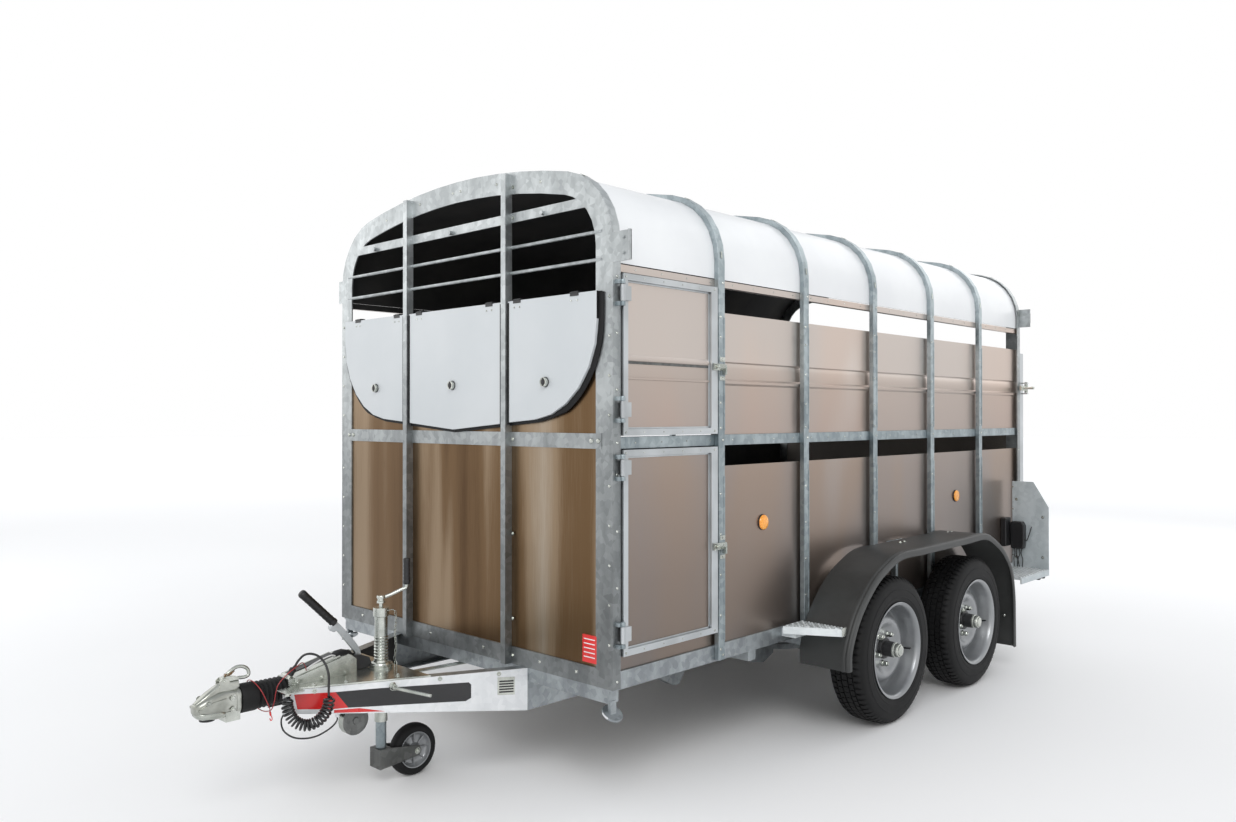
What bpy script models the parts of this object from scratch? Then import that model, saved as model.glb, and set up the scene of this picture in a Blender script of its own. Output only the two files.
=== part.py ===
"""A twin-axle livestock trailer: 12 ft by 6 ft body, hooped roof, tail ramp and braked overrun coupling.

Units are metres. +Z is up, -Y points to the towing vehicle.
+X is the side with the two small doors, called near.
The origin lies on the ground under the middle of the trailer's outer box.
"""

import math

import bmesh
import bpy
from mathutils import Matrix, Vector

# Body
BAY = 0.61
BAY_COUNT = 6
FRONT = -1.33
REAR = FRONT + BAY * BAY_COUNT
ARCH_HALF_WIDTH = 0.915
ARCH_CORNER_RADIUS = 0.305
ARCH_CORNER_HEIGHT = 2.02
ARCH_CROWN_HEIGHT = 2.39
GAP = 0.0003
FRAME_INSET = 0.010
FRAME_DEPTH = 0.040
PLATE = 0.006
HOOP_WIDTH = 0.040
HOOP_DEPTH = 0.022
FRAME_FOOT = 0.443
SILL_TOP = 0.500
WAIST_BOTTOM = 1.290
WAIST_TOP = 1.333
CANT_BOTTOM = 1.921
CANT_TOP = 1.9485
LOWER_VENT_SILL = 1.2075
UPPER_VENT_SILL = 1.8215
RAIL_OUTER = ARCH_HALF_WIDTH - HOOP_DEPTH - GAP
PANEL_OUTER = 0.884
PANEL_INNER = 0.880
FRONT_MEMBER_TOP = 0.510
BODY_START = FRONT + PLATE + 0.0005
BODY_END = REAR - PLATE - 0.0005

# Front wall
STAY_X = 0.336
STAY_WIDTH = 0.028
STAY_PROUD = 0.028
FLAP_HINGE_HEIGHT = 1.8525
FLAP_LOWEST = 1.3515
FLAP_CORNER = (0.484, 1.753)
FLAP_CORNER_RADIUS = 0.36
FLAP_FACE = FRONT - 0.020
FLAP_BACK = FRONT - 0.006
SEAL_BACK = FRONT - 0.002
FLAP_KNOB_HEIGHT = 1.534
BOARD_CLEARANCE = 0.020
SEAL_CLEARANCE = 0.0155
SEAL_LIP = 0.012
SEAL_TOP = FLAP_HINGE_HEIGHT - 0.001
OUTER_KNOB_X = 0.575
CATCH_OFFSET = 0.032
KNOB_PROUD = 0.014

# Running gear
AXLE_HEIGHT = 0.3345
TYRE_RADIUS = 0.3345
FRONT_AXLE_Y = FRONT + 1.647
REAR_AXLE_Y = FRONT + 2.500
WHEEL_CENTRE_X = 1.040
RIM_OUTER_X = 1.130
RIM_INNER_X = 0.950
RIM_FLANGE_RADIUS = 0.219
BEAD_RADIUS = 0.2055
SPRING_X = (0.600, 0.645)
SPRING_HALF_LENGTH = 0.400
MUDGUARD_INNER = 0.918
MUDGUARD_OUTER = 1.160

# Chassis and drawbar
CHASSIS_TOP = 0.4425
RAIL_X = 0.450
CHANNEL = 0.006
CROSS_BOTTOM = 0.390
SHAFT_HEIGHT = 0.430
SHAFT_RADIUS = 0.025
LEVER_PIVOT = (FRONT - 0.460, 0.480)
HANDLE_PIVOT = (FRONT - 0.985, 0.504)
JOCKEY_X = 0.045
JOCKEY_Y = FRONT - 0.388
JOCKEY_WHEEL_Y = FRONT - 0.246
JOCKEY_WHEEL_RADIUS = 0.100
CLAMP_Y = FRONT - 0.459
CLAMP_HEIGHT = 0.421

# Doors and ramp
DOOR_HINGE = (0.925, FRONT + 0.030)
DOOR_FRONT = FRONT + 0.045
DOOR_REAR = FRONT + 0.585
DOOR_INNER = 0.8945
LATCH_PIVOT_Y = FRONT + 0.566
RAMP_HINGE = (REAR + 0.0125, 0.456)
RAMP_TOP = 1.800
RAMP_HALF_WIDTH = 0.900
RAMP_FACE = REAR + 0.065
LOCK_PIVOT = (0.926, REAR + 0.045)
LOCK_HEIGHT = 1.580
LOCK_REACH = 0.090
LUG_OFFSET = 0.033

# Leads
LEAD_RADIUS = 0.0035
COIL_RADIUS = 0.021
BREAKAWAY_RADIUS = 0.00175
BRAKE_CABLE_RADIUS = 0.003

# colour, roughness, metallic
FINISHES = {
    "galvanised": ((0.60, 0.64, 0.66), 0.45, 0.85),
    "aluminium": ((0.66, 0.62, 0.57), 0.28, 0.95),
    "roof_white": ((0.90, 0.91, 0.92), 0.40, 0.0),
    "flap_white": ((0.80, 0.83, 0.85), 0.35, 0.0),
    "tyre": ((0.03, 0.03, 0.035), 0.85, 0.0),
    "rim": ((0.62, 0.62, 0.64), 0.35, 0.8),
    "guard_plastic": ((0.05, 0.05, 0.05), 0.55, 0.0),
    "deck": ((0.32, 0.30, 0.28), 0.60, 0.2),
    "zinc": ((0.70, 0.72, 0.70), 0.30, 0.9),
    "grip": ((0.02, 0.02, 0.02), 0.60, 0.0),
    "lead": ((0.02, 0.02, 0.02), 0.50, 0.0),
    "red_lead": ((0.55, 0.05, 0.05), 0.50, 0.0),
}


def clear_scene():
    for obj in list(bpy.data.objects):
        bpy.data.objects.remove(obj)


def finish_material(kind):
    found = bpy.data.materials.get(kind)
    if found:
        return found
    colour, roughness, metallic = FINISHES[kind]
    made = bpy.data.materials.new(kind)
    made.use_nodes = True
    shader = made.node_tree.nodes["Principled BSDF"]
    shader.inputs["Base Color"].default_value = (*colour, 1.0)
    shader.inputs["Roughness"].default_value = roughness
    shader.inputs["Metallic"].default_value = metallic
    return made


# Shapes: each function returns a bmesh in world coordinates.


def loft(sections, closed=False):
    """Skins a list of equal-length rings; the ends are capped unless the rings themselves form a loop."""
    bm = bmesh.new()
    rings = [[bm.verts.new(point) for point in section] for section in sections]
    pairs = list(zip(rings, rings[1:]))
    if closed:
        pairs.append((rings[-1], rings[0]))
    for first, second in pairs:
        for i in range(len(first)):
            j = (i + 1) % len(first)
            bm.faces.new((first[i], first[j], second[j], second[i]))
    if not closed:
        bm.faces.new(rings[0][::-1])
        bm.faces.new(rings[-1])
    bmesh.ops.recalc_face_normals(bm, faces=bm.faces)
    return bm


def prism(outline, axis, low, high):
    """Extrudes an outline, given in the other two axes in X, Y, Z order, along a world axis."""
    place = {
        "x": lambda p, along: (along, p[0], p[1]),
        "y": lambda p, along: (p[0], along, p[1]),
        "z": lambda p, along: (p[0], p[1], along),
    }[axis]
    return loft([[place(p, low) for p in outline], [place(p, high) for p in outline]])


def block(low, high):
    outline = [(low[0], low[1]), (high[0], low[1]), (high[0], high[1]), (low[0], high[1])]
    return prism(outline, "z", low[2], high[2])


def ring_around(centre, direction, radius, sides, turn=0.0):
    """Points of a circle whose axis is the direction."""
    axis = Vector(direction).normalized()
    helper = Vector((0, 0, 1)) if abs(axis.z) < 0.9 else Vector((1, 0, 0))
    across = axis.cross(helper).normalized()
    upward = axis.cross(across).normalized()
    angles = [turn + 2 * math.pi * i / sides for i in range(sides)]
    return [Vector(centre) + radius * (math.cos(a) * across + math.sin(a) * upward) for a in angles]


def rod(start, end, radius, sides=12, end_radius=None):
    direction = Vector(end) - Vector(start)
    tip = radius if end_radius is None else end_radius
    return loft([ring_around(start, direction, radius, sides), ring_around(end, direction, tip, sides)])


def turned(profile, centre, axis, steps):
    """Spins a closed profile of (radius, place) points; a solid one starts and ends on the axis."""
    along = {"x": Vector((1, 0, 0)), "y": Vector((0, 1, 0)), "z": Vector((0, 0, 1))}[axis]
    across = {"x": Vector((0, 0, 1)), "y": Vector((1, 0, 0)), "z": Vector((1, 0, 0))}[axis]
    bm = bmesh.new()
    middle = Vector(centre)
    verts = [bm.verts.new(middle + across * radius + along * place) for radius, place in profile]
    edges = [bm.edges.new((a, b)) for a, b in zip(verts, verts[1:] + verts[:1])]
    bmesh.ops.spin(
        bm, geom=verts + edges, cent=middle, axis=along, angle=2 * math.pi, steps=steps, use_merge=True
    )
    bmesh.ops.remove_doubles(bm, verts=bm.verts, dist=1e-6)
    bmesh.ops.dissolve_degenerate(bm, edges=bm.edges, dist=1e-6)
    inside = [f for f in bm.faces if all(abs((v.co - middle).cross(along).length) < 1e-6 for v in f.verts)]
    bmesh.ops.delete(bm, geom=inside, context="FACES")
    loose = [e for e in bm.edges if not e.link_faces]
    bmesh.ops.delete(bm, geom=loose, context="EDGES")
    bmesh.ops.recalc_face_normals(bm, faces=bm.faces)
    return bm


def mirrored(bm):
    bmesh.ops.scale(bm, vec=(-1, 1, 1), verts=bm.verts)
    bmesh.ops.reverse_faces(bm, faces=bm.faces)
    return bm


def on_side(bm, side):
    """Keeps a shape on the near side (+1) or moves it to the far side (-1)."""
    return bm if side > 0 else mirrored(bm)


# Objects


def mesh_object(name, bm, origin=(0, 0, 0)):
    bmesh.ops.translate(bm, vec=-Vector(origin), verts=bm.verts)
    mesh = bpy.data.meshes.new(name)
    bm.to_mesh(mesh)
    bm.free()
    mesh.shade_smooth()
    mesh.set_sharp_from_angle(angle=math.radians(32))
    obj = bpy.data.objects.new(name, mesh)
    obj.location = origin
    bpy.context.scene.collection.objects.link(obj)
    return obj


def helper_collection(name, shapes):
    """Hidden operands of a Boolean."""
    made = bpy.data.collections.new(name)
    bpy.context.scene.collection.children.link(made)
    for index, bm in enumerate(shapes):
        helper = mesh_object(f"{name}_{index}", bm)
        bpy.context.scene.collection.objects.unlink(helper)
        made.objects.link(helper)
        helper.hide_render = True
        helper.display_type = "WIRE"
    made.hide_render = True
    return made


def add_boolean(obj, operation, collection):
    modifier = obj.modifiers.new(operation.title(), "BOOLEAN")
    modifier.operation = operation
    modifier.operand_type = "COLLECTION"
    modifier.collection = collection
    modifier.solver = "EXACT"


def part(name, kind, shapes, cutters=(), origin=(0, 0, 0)):
    """One named piece: the first shape, joined with the others and cut by the cutters."""
    obj = mesh_object(name, shapes[0], origin)
    obj.data.materials.append(finish_material(kind))
    if len(shapes) > 1:
        add_boolean(obj, "UNION", helper_collection(name + "_joined", shapes[1:]))
    if cutters:
        add_boolean(obj, "DIFFERENCE", helper_collection(name + "_cutters", cutters))
    return obj


def smooth_route(points, spacing):
    """Evenly spaced points on a smooth curve through the route's own points."""
    points = [Vector(p) for p in points]
    padded = [2 * points[0] - points[1]] + points + [2 * points[-1] - points[-2]]
    fine = []
    for before, start, end, after in zip(padded, padded[1:], padded[2:], padded[3:]):
        for i in range(24):
            t = i / 24
            fine.append(
                0.5
                * (
                    2 * start
                    + (end - before) * t
                    + (2 * before - 5 * start + 4 * end - after) * t**2
                    + (3 * start - before - 3 * end + after) * t**3
                )
            )
    fine.append(points[-1])
    lengths = [0.0]
    for a, b in zip(fine, fine[1:]):
        lengths.append(lengths[-1] + (b - a).length)
    count = max(2, round(lengths[-1] / spacing))
    even = []
    index = 0
    for step in range(count + 1):
        wanted = lengths[-1] * step / count
        while index < len(fine) - 2 and lengths[index + 1] < wanted:
            index += 1
        share = (wanted - lengths[index]) / (lengths[index + 1] - lengths[index])
        even.append(fine[index].lerp(fine[index + 1], min(1.0, share)))
    return even


def tube(name, kind, route, radius, spacing, resolution=2):
    """A cord: a bevelled curve with filled caps."""
    curve = bpy.data.curves.new(name, "CURVE")
    curve.dimensions = "3D"
    curve.bevel_depth = radius
    curve.bevel_resolution = resolution
    curve.use_fill_caps = True
    spline = curve.splines.new("POLY")
    places = smooth_route(route, spacing)
    spline.points.add(len(places) - 1)
    for point, place in zip(spline.points, places):
        point.co = (*place, 1.0)
    curve.materials.append(finish_material(kind))
    obj = bpy.data.objects.new(name, curve)
    bpy.context.scene.collection.objects.link(obj)
    return obj


# Body outline


def arch_stations(foot, corner_steps=6, crown_steps=5):
    """(point, outward normal) pairs of the outer outline, from the near foot to the far foot."""
    radius = ARCH_CORNER_RADIUS
    centre_x = ARCH_HALF_WIDTH - radius
    rise = ARCH_CROWN_HEIGHT - ARCH_CORNER_HEIGHT
    crown_radius = (centre_x**2 + rise**2 - radius**2) / (2 * (rise - radius))
    crown_centre = ARCH_CROWN_HEIGHT - crown_radius
    spread = math.asin(centre_x / (crown_radius - radius))
    half = [((ARCH_HALF_WIDTH, foot), (1.0, 0.0))]
    for i in range(corner_steps + 1):
        angle = (math.pi / 2 - spread) * i / corner_steps
        normal = (math.cos(angle), math.sin(angle))
        half.append(((centre_x + radius * normal[0], ARCH_CORNER_HEIGHT + radius * normal[1]), normal))
    for i in range(1, crown_steps + 1):
        angle = spread * (1 - i / crown_steps)
        normal = (math.sin(angle), math.cos(angle))
        half.append(((crown_radius * normal[0], crown_centre + crown_radius * normal[1]), normal))
    other = [((-p[0], p[1]), (-n[0], n[1])) for p, n in reversed(half[:-1])]
    return half + other


def arch_band(foot, section):
    """Sweeps a section of (inset from the outline, place along Y) points round the arch."""
    rings = []
    for point, normal in arch_stations(foot):
        rings.append(
            [(point[0] - inset * normal[0], y, point[1] - inset * normal[1]) for inset, y in section]
        )
    return loft(rings)


def end_frame_band(face, inward):
    """An angle-section arch: a flat plate facing outwards and a flange round its outer edge."""
    inner = FRAME_INSET + 0.085
    section = [
        (FRAME_INSET, face),
        (FRAME_INSET, face + inward * FRAME_DEPTH),
        (FRAME_INSET + 0.005, face + inward * FRAME_DEPTH),
        (FRAME_INSET + 0.005, face + inward * PLATE),
        (inner, face + inward * PLATE),
        (inner, face),
    ]
    return arch_band(FRAME_FOOT, section)


# Chassis


def channel_rail():
    """Drawbar arm and chassis rail in one folded channel, open towards the middle."""
    stations = [
        (FRONT - 0.795, 0.062, 0.3585, 0.012),
        (FRONT - 0.600, 0.157, 0.3390, 0.050),
        (FRONT, RAIL_X, 0.2800, 0.050),
        (FRONT + 1.000, RAIL_X, 0.2800, 0.050),
        (FRONT + 1.180, RAIL_X, CROSS_BOTTOM, 0.050),
        (REAR - 0.080, RAIL_X, CROSS_BOTTOM, 0.050),
    ]
    rings = []
    for y, outer, bottom, flange in stations:
        inner = outer - flange
        web = outer - CHANNEL
        rings.append(
            [
                (outer, y, bottom),
                (outer, y, CHASSIS_TOP),
                (inner, y, CHASSIS_TOP),
                (inner, y, CHASSIS_TOP - CHANNEL),
                (web, y, CHASSIS_TOP - CHANNEL),
                (web, y, bottom + CHANNEL),
                (inner, y, bottom + CHANNEL),
                (inner, y, bottom),
            ]
        )
    return loft(rings)


def cross_member(y, depth=0.050):
    half = depth / 2
    return block((-0.880, y - half, CROSS_BOTTOM), (0.880, y + half, CHASSIS_TOP))


def chassis_frame():
    hanger_places = [FRONT + 1.250, FRONT + 2.0735, FRONT + 2.900]
    shapes = [cross_member(y) for y in (FRONT + 0.030, FRONT + 0.860, *hanger_places, REAR - 0.035)]
    for side in (1, -1):
        shapes.append(on_side(channel_rail(), side))
        shapes.append(on_side(block((0.852, BODY_START, 0.435), (RAIL_OUTER, BODY_END, SILL_TOP)), side))
        for y in hanger_places:
            hanger = block((SPRING_X[0], y - 0.022, 0.372), (SPRING_X[1], y + 0.022, 0.400))
            shapes.append(on_side(hanger, side))
        shapes.extend(on_side(bm, side) for bm in under_brackets())
        strap = block((0.868, FRONT + 0.012, 0.345), (0.884, FRONT + 0.040, 0.400))
        shapes.append(on_side(strap, side))
        pad = rod((0.8745, FRONT + 0.026, 0.3490), (0.8790, FRONT + 0.026, 0.3565), 0.040, 16)
        shapes.append(on_side(pad, side))
        shapes.extend(on_side(bm, side) for bm in rear_corner())
    shapes.extend(side_step())
    shapes.append(rod((0.125, FRONT - 0.620, 0.3250), (0.125, FRONT - 0.620, 0.3460), 0.008))
    part("chassis_frame", "galvanised", shapes)


def under_brackets():
    """The flat-footed gusset for a stand, and the cheeks of the front spring hanger."""
    foot = [(0.842, 0.210), (0.878, 0.210), (0.913, 0.252), (0.913, 0.300), (0.731, 0.300), (0.731, 0.268)]
    cheek = [(1.170, 0.285), (1.262, 0.268), (1.340, 0.300), (1.340, 0.325), (1.290, 0.400), (1.170, 0.400)]
    shapes = [prism([(FRONT + y, z) for y, z in foot], "x", 0.420, 0.470)]
    for inner in (SPRING_X[0] - 0.010, SPRING_X[1] + 0.004):
        shapes.append(prism([(FRONT + y, z) for y, z in cheek], "x", inner, inner + 0.006))
    return shapes


def rear_corner():
    """The step beside the ramp and the board that carries the rear lamps."""
    step_front = FRONT + 3.085
    board = FRONT + 3.500
    outline = [(0.9185, 0.462), (1.135, 0.462), (1.135, 0.860), (1.045, 1.010), (0.9185, 1.010)]
    return [
        block((0.9185, step_front, 0.478), (1.135, board + 0.006, 0.490)),
        block((1.126, step_front, 0.456), (1.135, board + 0.006, 0.485)),
        block((0.870, step_front + 0.020, 0.462), (0.940, board - 0.010, 0.484)),
        prism(outline, "y", board, board + 0.005),
    ]


def side_step():
    """A triangular tread bolted to the near sill ahead of the mudguard."""
    inner = 0.917
    outer = 1.135
    back = FRONT + 1.176
    corners = [(inner, FRONT + 1.030), (outer, FRONT + 1.150), (outer, back), (inner, back)]
    return [
        prism(corners, "z", 0.478, 0.510),
        block((0.870, FRONT + 1.060, 0.460), (0.960, FRONT + 1.165, 0.496)),
    ]


def floor_deck():
    shape = block((-0.8517, FRONT + 0.0403, CHASSIS_TOP + GAP), (0.8517, REAR - 0.0403, 0.470))
    part("floor_deck", "deck", [shape])


# Running gear


def axle(name, y):
    """Beam, brake back plates and stub shafts, turned about the wheel axis."""
    half = [(0.0, 1.030), (0.018, 1.030), (0.018, 0.9335), (0.115, 0.9335), (0.115, 0.925), (0.030, 0.925)]
    profile = half + [(radius, -place) for radius, place in reversed(half)]
    part(name, "galvanised", [turned(profile, (0, y, AXLE_HEIGHT), "x", 16)])


def spring_pack(name, side):
    """Two leaf packs under the axles, joined by the rocker between them."""
    top = []
    bottom = []
    for centre in (FRONT_AXLE_Y, REAR_AXLE_Y):
        for i in range(-4, 5):
            share = i / 4
            y = centre + share * SPRING_HALF_LENGTH
            rise = 0.0555 * share**2
            top.append((y, AXLE_HEIGHT - 0.0305 + rise))
            bottom.append((y, AXLE_HEIGHT - 0.0305 - 0.030 + 0.012 * abs(share) + rise))
    shape = prism(top + bottom[::-1], "x", *SPRING_X)
    part(name, "galvanised", [on_side(shape, side)])


def tyre_profile():
    """Bead, sidewall, shoulder and tread, as (radius, offset from the middle), and the hollow inside."""
    half = [(BEAD_RADIUS, 0.070), (0.225, 0.085), (0.262, 0.0905), (0.312, 0.083), (TYRE_RADIUS, 0.062)]
    outside = half + [(radius, -place) for radius, place in reversed(half)]
    inside = [(BEAD_RADIUS, -0.056), (0.305, -0.060), (0.305, 0.060), (BEAD_RADIUS, 0.056)]
    return outside + inside


def rim_profile():
    """Wheel rim, dished centre, hub and brake drum, as (radius, place outwards) points."""
    return [
        (BEAD_RADIUS + 0.0135, RIM_OUTER_X),
        (BEAD_RADIUS - 0.0015, RIM_OUTER_X - 0.014),
        (BEAD_RADIUS - 0.0015, RIM_INNER_X + 0.014),
        (BEAD_RADIUS + 0.0135, RIM_INNER_X),
        (BEAD_RADIUS - 0.007, RIM_INNER_X + 0.006),
        (BEAD_RADIUS - 0.007, 1.020),
        (0.150, 1.052),
        (0.112, 1.040),
        (0.112, 0.9370),
        (0.104, 0.9370),
        (0.104, 0.990),
        (0.0185, 0.990),
        (0.0185, 1.0305),
        (0.0, 1.0305),
        (0.0, 1.146),
        (0.026, 1.146),
        (0.034, 1.138),
        (0.036, 1.076),
        (0.095, 1.072),
        (0.150, 1.060),
        (BEAD_RADIUS - 0.007, 1.034),
        (BEAD_RADIUS - 0.0065, RIM_OUTER_X - 0.008),
    ]


def wheel(position, side, y):
    middle = (0, y, AXLE_HEIGHT)
    tyre = turned([(r, WHEEL_CENTRE_X + place) for r, place in tyre_profile()], middle, "x", 24)
    rim = turned(rim_profile(), middle, "x", 24)
    part(f"tyre_{position}", "tyre", [on_side(tyre, side)], origin=middle)
    part(f"rim_{position}", "rim", [on_side(rim, side)], origin=middle)


def mudguard(name, side):
    """A plastic guard over both wheels: a curved top with a turned-down outer lip, and a rear flap."""
    places = [
        (1.160, 0.330), (1.165, 0.420), (1.240, 0.555), (1.370, 0.675), (1.490, 0.738), (1.635, 0.782),
        (2.544, 0.790), (2.680, 0.745), (2.800, 0.674), (2.895, 0.570), (2.935, 0.430), (2.945, 0.135),
    ]
    section = [
        (MUDGUARD_INNER, 0.0),
        (MUDGUARD_OUTER, 0.0),
        (MUDGUARD_OUTER, -0.024),
        (MUDGUARD_OUTER - 0.006, -0.024),
        (MUDGUARD_OUTER - 0.006, -0.005),
        (MUDGUARD_INNER, -0.005),
    ]
    rings = []
    for i, (along, height) in enumerate(places):
        before = Vector(places[max(0, i - 1)])
        after = Vector(places[min(len(places) - 1, i + 1)])
        direction = (after - before).normalized()
        outward = Vector((-direction.y, direction.x))
        rings.append(
            [(x, FRONT + along + depth * outward.x, height + depth * outward.y) for x, depth in section]
        )
    part(name, "guard_plastic", [on_side(loft(rings), side)])


# Body


def stay(x):
    """A front stay that runs from the bottom member to the top of the arch."""
    half = STAY_WIDTH / 2
    return block((x - half, FRONT - STAY_PROUD, FRAME_FOOT), (x + half, FRONT + PLATE, 2.352))


def front_frame():
    shapes = [
        end_frame_band(FRONT, 1),
        block((-0.830, FRONT, FRAME_FOOT), (0.830, FRONT + FRAME_DEPTH, FRONT_MEMBER_TOP)),
        block((-0.850, FRONT - 0.0015, WAIST_BOTTOM), (0.850, FRONT + PLATE, 1.345)),
        block((-0.800, FRONT, 2.162), (0.800, FRONT + PLATE, 2.199)),
    ]
    for height in (1.965, 2.065):
        shapes.append(rod((-0.850, FRONT + 0.004, height), (0.850, FRONT + 0.004, height), 0.007, 8))
    for x in (-STAY_X, STAY_X):
        shapes.append(stay(x))
    for x in (-OUTER_KNOB_X, 0.0, OUTER_KNOB_X):
        catch = x - CATCH_OFFSET
        shapes.append(rod((catch, FRONT + 0.002, 2.172), (catch, FRONT - 0.016, 2.172), 0.009, 8))
    for low, high in ((0.895, 0.992), (-0.935, -0.895)):
        shapes.append(block((low, FRONT, 1.948), (high, FRONT + 0.004, 2.054)))
    part("front_frame", "galvanised", shapes)


def rear_frame():
    shapes = [
        end_frame_band(REAR, -1),
        block((-0.830, REAR - FRAME_DEPTH, FRAME_FOOT), (0.830, REAR, 0.500)),
    ]
    for side in (1, -1):
        shapes.append(on_side(block((0.895, REAR - 0.006, 1.960), (0.970, REAR, 2.070)), side))
    part("rear_frame", "galvanised", shapes)


def hoops():
    for number in range(1, BAY_COUNT):
        y = FRONT + BAY * number
        low = y - HOOP_WIDTH / 2
        high = y + HOOP_WIDTH / 2
        section = [(0, low), (0, high), (HOOP_DEPTH, high), (HOOP_DEPTH, low)]
        part(f"hoop_{number}", "galvanised", [arch_band(CHASSIS_TOP + GAP, section)])


def roof_sheet():
    outer = HOOP_DEPTH + GAP
    inner = outer + 0.004
    section = [(outer, BODY_START), (outer, BODY_END), (inner, BODY_END), (inner, BODY_START)]
    part("roof_sheet", "roof_white", [arch_band(1.952, section)])


def side_rails(label, side):
    waist = block((0.872, BODY_START, WAIST_BOTTOM), (RAIL_OUTER, BODY_END, WAIST_TOP))
    cant = block((0.868, BODY_START, CANT_BOTTOM), (RAIL_OUTER, BODY_END, CANT_TOP))
    part(f"waist_rail_{label}", "galvanised", [on_side(waist, side)])
    part(f"cant_rail_{label}", "aluminium", [on_side(cant, side)])


def side_panels(label, side, has_doors):
    first = FRONT + 0.592 if has_doors else BODY_START
    low = SILL_TOP + GAP
    lower = [(BODY_END, low), (BODY_END, LOWER_VENT_SILL), (first, LOWER_VENT_SILL)]
    if has_doors:
        lower += [(first, 0.552), (BODY_START, 0.552)]
    lower.append((BODY_START, low))
    shape = prism(lower, "x", PANEL_INNER, PANEL_OUTER)
    part(f"lower_panel_{label}", "aluminium", [on_side(shape, side)])
    foot = WAIST_TOP + GAP
    swage = [
        (0.874, foot), (PANEL_OUTER, foot), (PANEL_OUTER, 1.530), (0.890, 1.538), (0.890, 1.548),
        (0.881, 1.557), (0.881, 1.608), (0.878, 1.614), (0.878, 1.620), (PANEL_OUTER, 1.626),
        (PANEL_OUTER, UPPER_VENT_SILL), (0.874, UPPER_VENT_SILL),
    ]
    shape = prism(swage, "y", first, BODY_END)
    part(f"upper_panel_{label}", "aluminium", [on_side(shape, side)])


def front_panel():
    half = 0.8495
    low = (-half, FRONT + PLATE + GAP, FRONT_MEMBER_TOP + 0.0005)
    part("front_panel", "aluminium", [block(low, (half, FRONT + 0.0093, 1.850))])


# Doors, latches and flaps


def door(name, low, high, hinge_heights):
    """A sheet in a light angle frame, with hinge knuckles along its front edge."""
    outer = ARCH_HALF_WIDTH
    border = 0.024
    latch_border = 0.040
    shapes = [
        block((DOOR_INNER, DOOR_FRONT, low), (DOOR_INNER + 0.006, DOOR_REAR, high)),
        block((DOOR_INNER, DOOR_FRONT, low), (outer, DOOR_FRONT + border, high)),
        block((DOOR_INNER, DOOR_REAR - latch_border, low), (outer, DOOR_REAR, high)),
        block((DOOR_INNER, DOOR_FRONT + 0.010, low), (outer, DOOR_REAR - 0.010, low + border)),
        block((DOOR_INNER, DOOR_FRONT + 0.010, high - border), (outer, DOOR_REAR - 0.010, high)),
    ]
    for height in hinge_heights:
        knuckle_low = (*DOOR_HINGE, height - 0.030)
        knuckle_high = (*DOOR_HINGE, height + 0.030)
        shapes.append(rod(knuckle_low, knuckle_high, 0.0085, 10))
        leaf_low = (outer - 0.004, DOOR_HINGE[1], height - 0.026)
        leaf_high = (DOOR_HINGE[0], DOOR_FRONT + 0.030, height + 0.026)
        shapes.append(block(leaf_low, leaf_high))
    part(name, "aluminium", shapes, origin=(*DOOR_HINGE, (low + high) / 2))


def door_latch(name, height):
    """A turn button: it pivots on the door's rear stile and laps the first hoop."""
    inner = ARCH_HALF_WIDTH + 0.0006
    outline = [
        (LATCH_PIVOT_Y - 0.014, height - 0.014), (FRONT + 0.632, height - 0.012), (FRONT + 0.636, height),
        (FRONT + 0.632, height + 0.012), (LATCH_PIVOT_Y - 0.014, height + 0.014),
    ]
    shapes = [
        prism(outline, "x", inner, inner + 0.008),
        rod((inner, LATCH_PIVOT_Y, height), (inner + 0.016, LATCH_PIVOT_Y, height), 0.010, 10),
        block(
            (inner + 0.004, FRONT + 0.606, height - 0.030),
            (inner + 0.024, FRONT + 0.614, height - 0.004),
        ),
    ]
    part(name, "zinc", shapes, origin=(inner, LATCH_PIVOT_Y, height))


def flap_outline(inner, grow):
    """Near half of the flap outline, from its inner edge round the corner to the hinge line."""
    centre_x, centre_z = FLAP_CORNER
    radius = FLAP_CORNER_RADIUS + grow
    slope = (centre_z - FLAP_CORNER_RADIUS - FLAP_LOWEST) / centre_x
    start = math.atan(slope)
    points = [(inner, FLAP_LOWEST - grow + slope * inner)]
    for i in range(7):
        angle = start - math.pi / 2 + (math.pi / 2 - start) * i / 6
        points.append((centre_x + radius * math.cos(angle), centre_z + radius * math.sin(angle)))
    return points


def flap_knob(x):
    """The turn knob that holds a flap shut, or holds it up on its catch."""
    inside = (x, FLAP_FACE + 0.002, FLAP_KNOB_HEIGHT)
    outside = (x, FLAP_FACE - KNOB_PROUD, FLAP_KNOB_HEIGHT)
    return rod(inside, outside, 0.018, 12)


def vent_flap(label, board, seal, knob, side=1):
    """A board with a rubber seal behind it, hung from its top edge."""
    shapes = [prism(board, "y", FLAP_FACE, FLAP_BACK), prism(seal, "y", FLAP_BACK - 0.002, SEAL_BACK), knob]
    shapes = [on_side(bm, side) for bm in shapes]
    part(f"vent_flap_{label}", "flap_white", shapes, origin=(0, FLAP_FACE, FLAP_HINGE_HEIGHT))


def vent_flap_side(label, side):
    board_inner = STAY_X + BOARD_CLEARANCE
    seal_inner = STAY_X + SEAL_CLEARANCE
    board = flap_outline(board_inner, 0.0)
    board += [(board[-1][0], FLAP_HINGE_HEIGHT), (board_inner, FLAP_HINGE_HEIGHT)]
    seal = flap_outline(seal_inner, SEAL_LIP)
    seal += [(seal[-1][0], SEAL_TOP), (seal_inner, SEAL_TOP)]
    vent_flap(label, board, seal, flap_knob(OUTER_KNOB_X), side)


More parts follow.
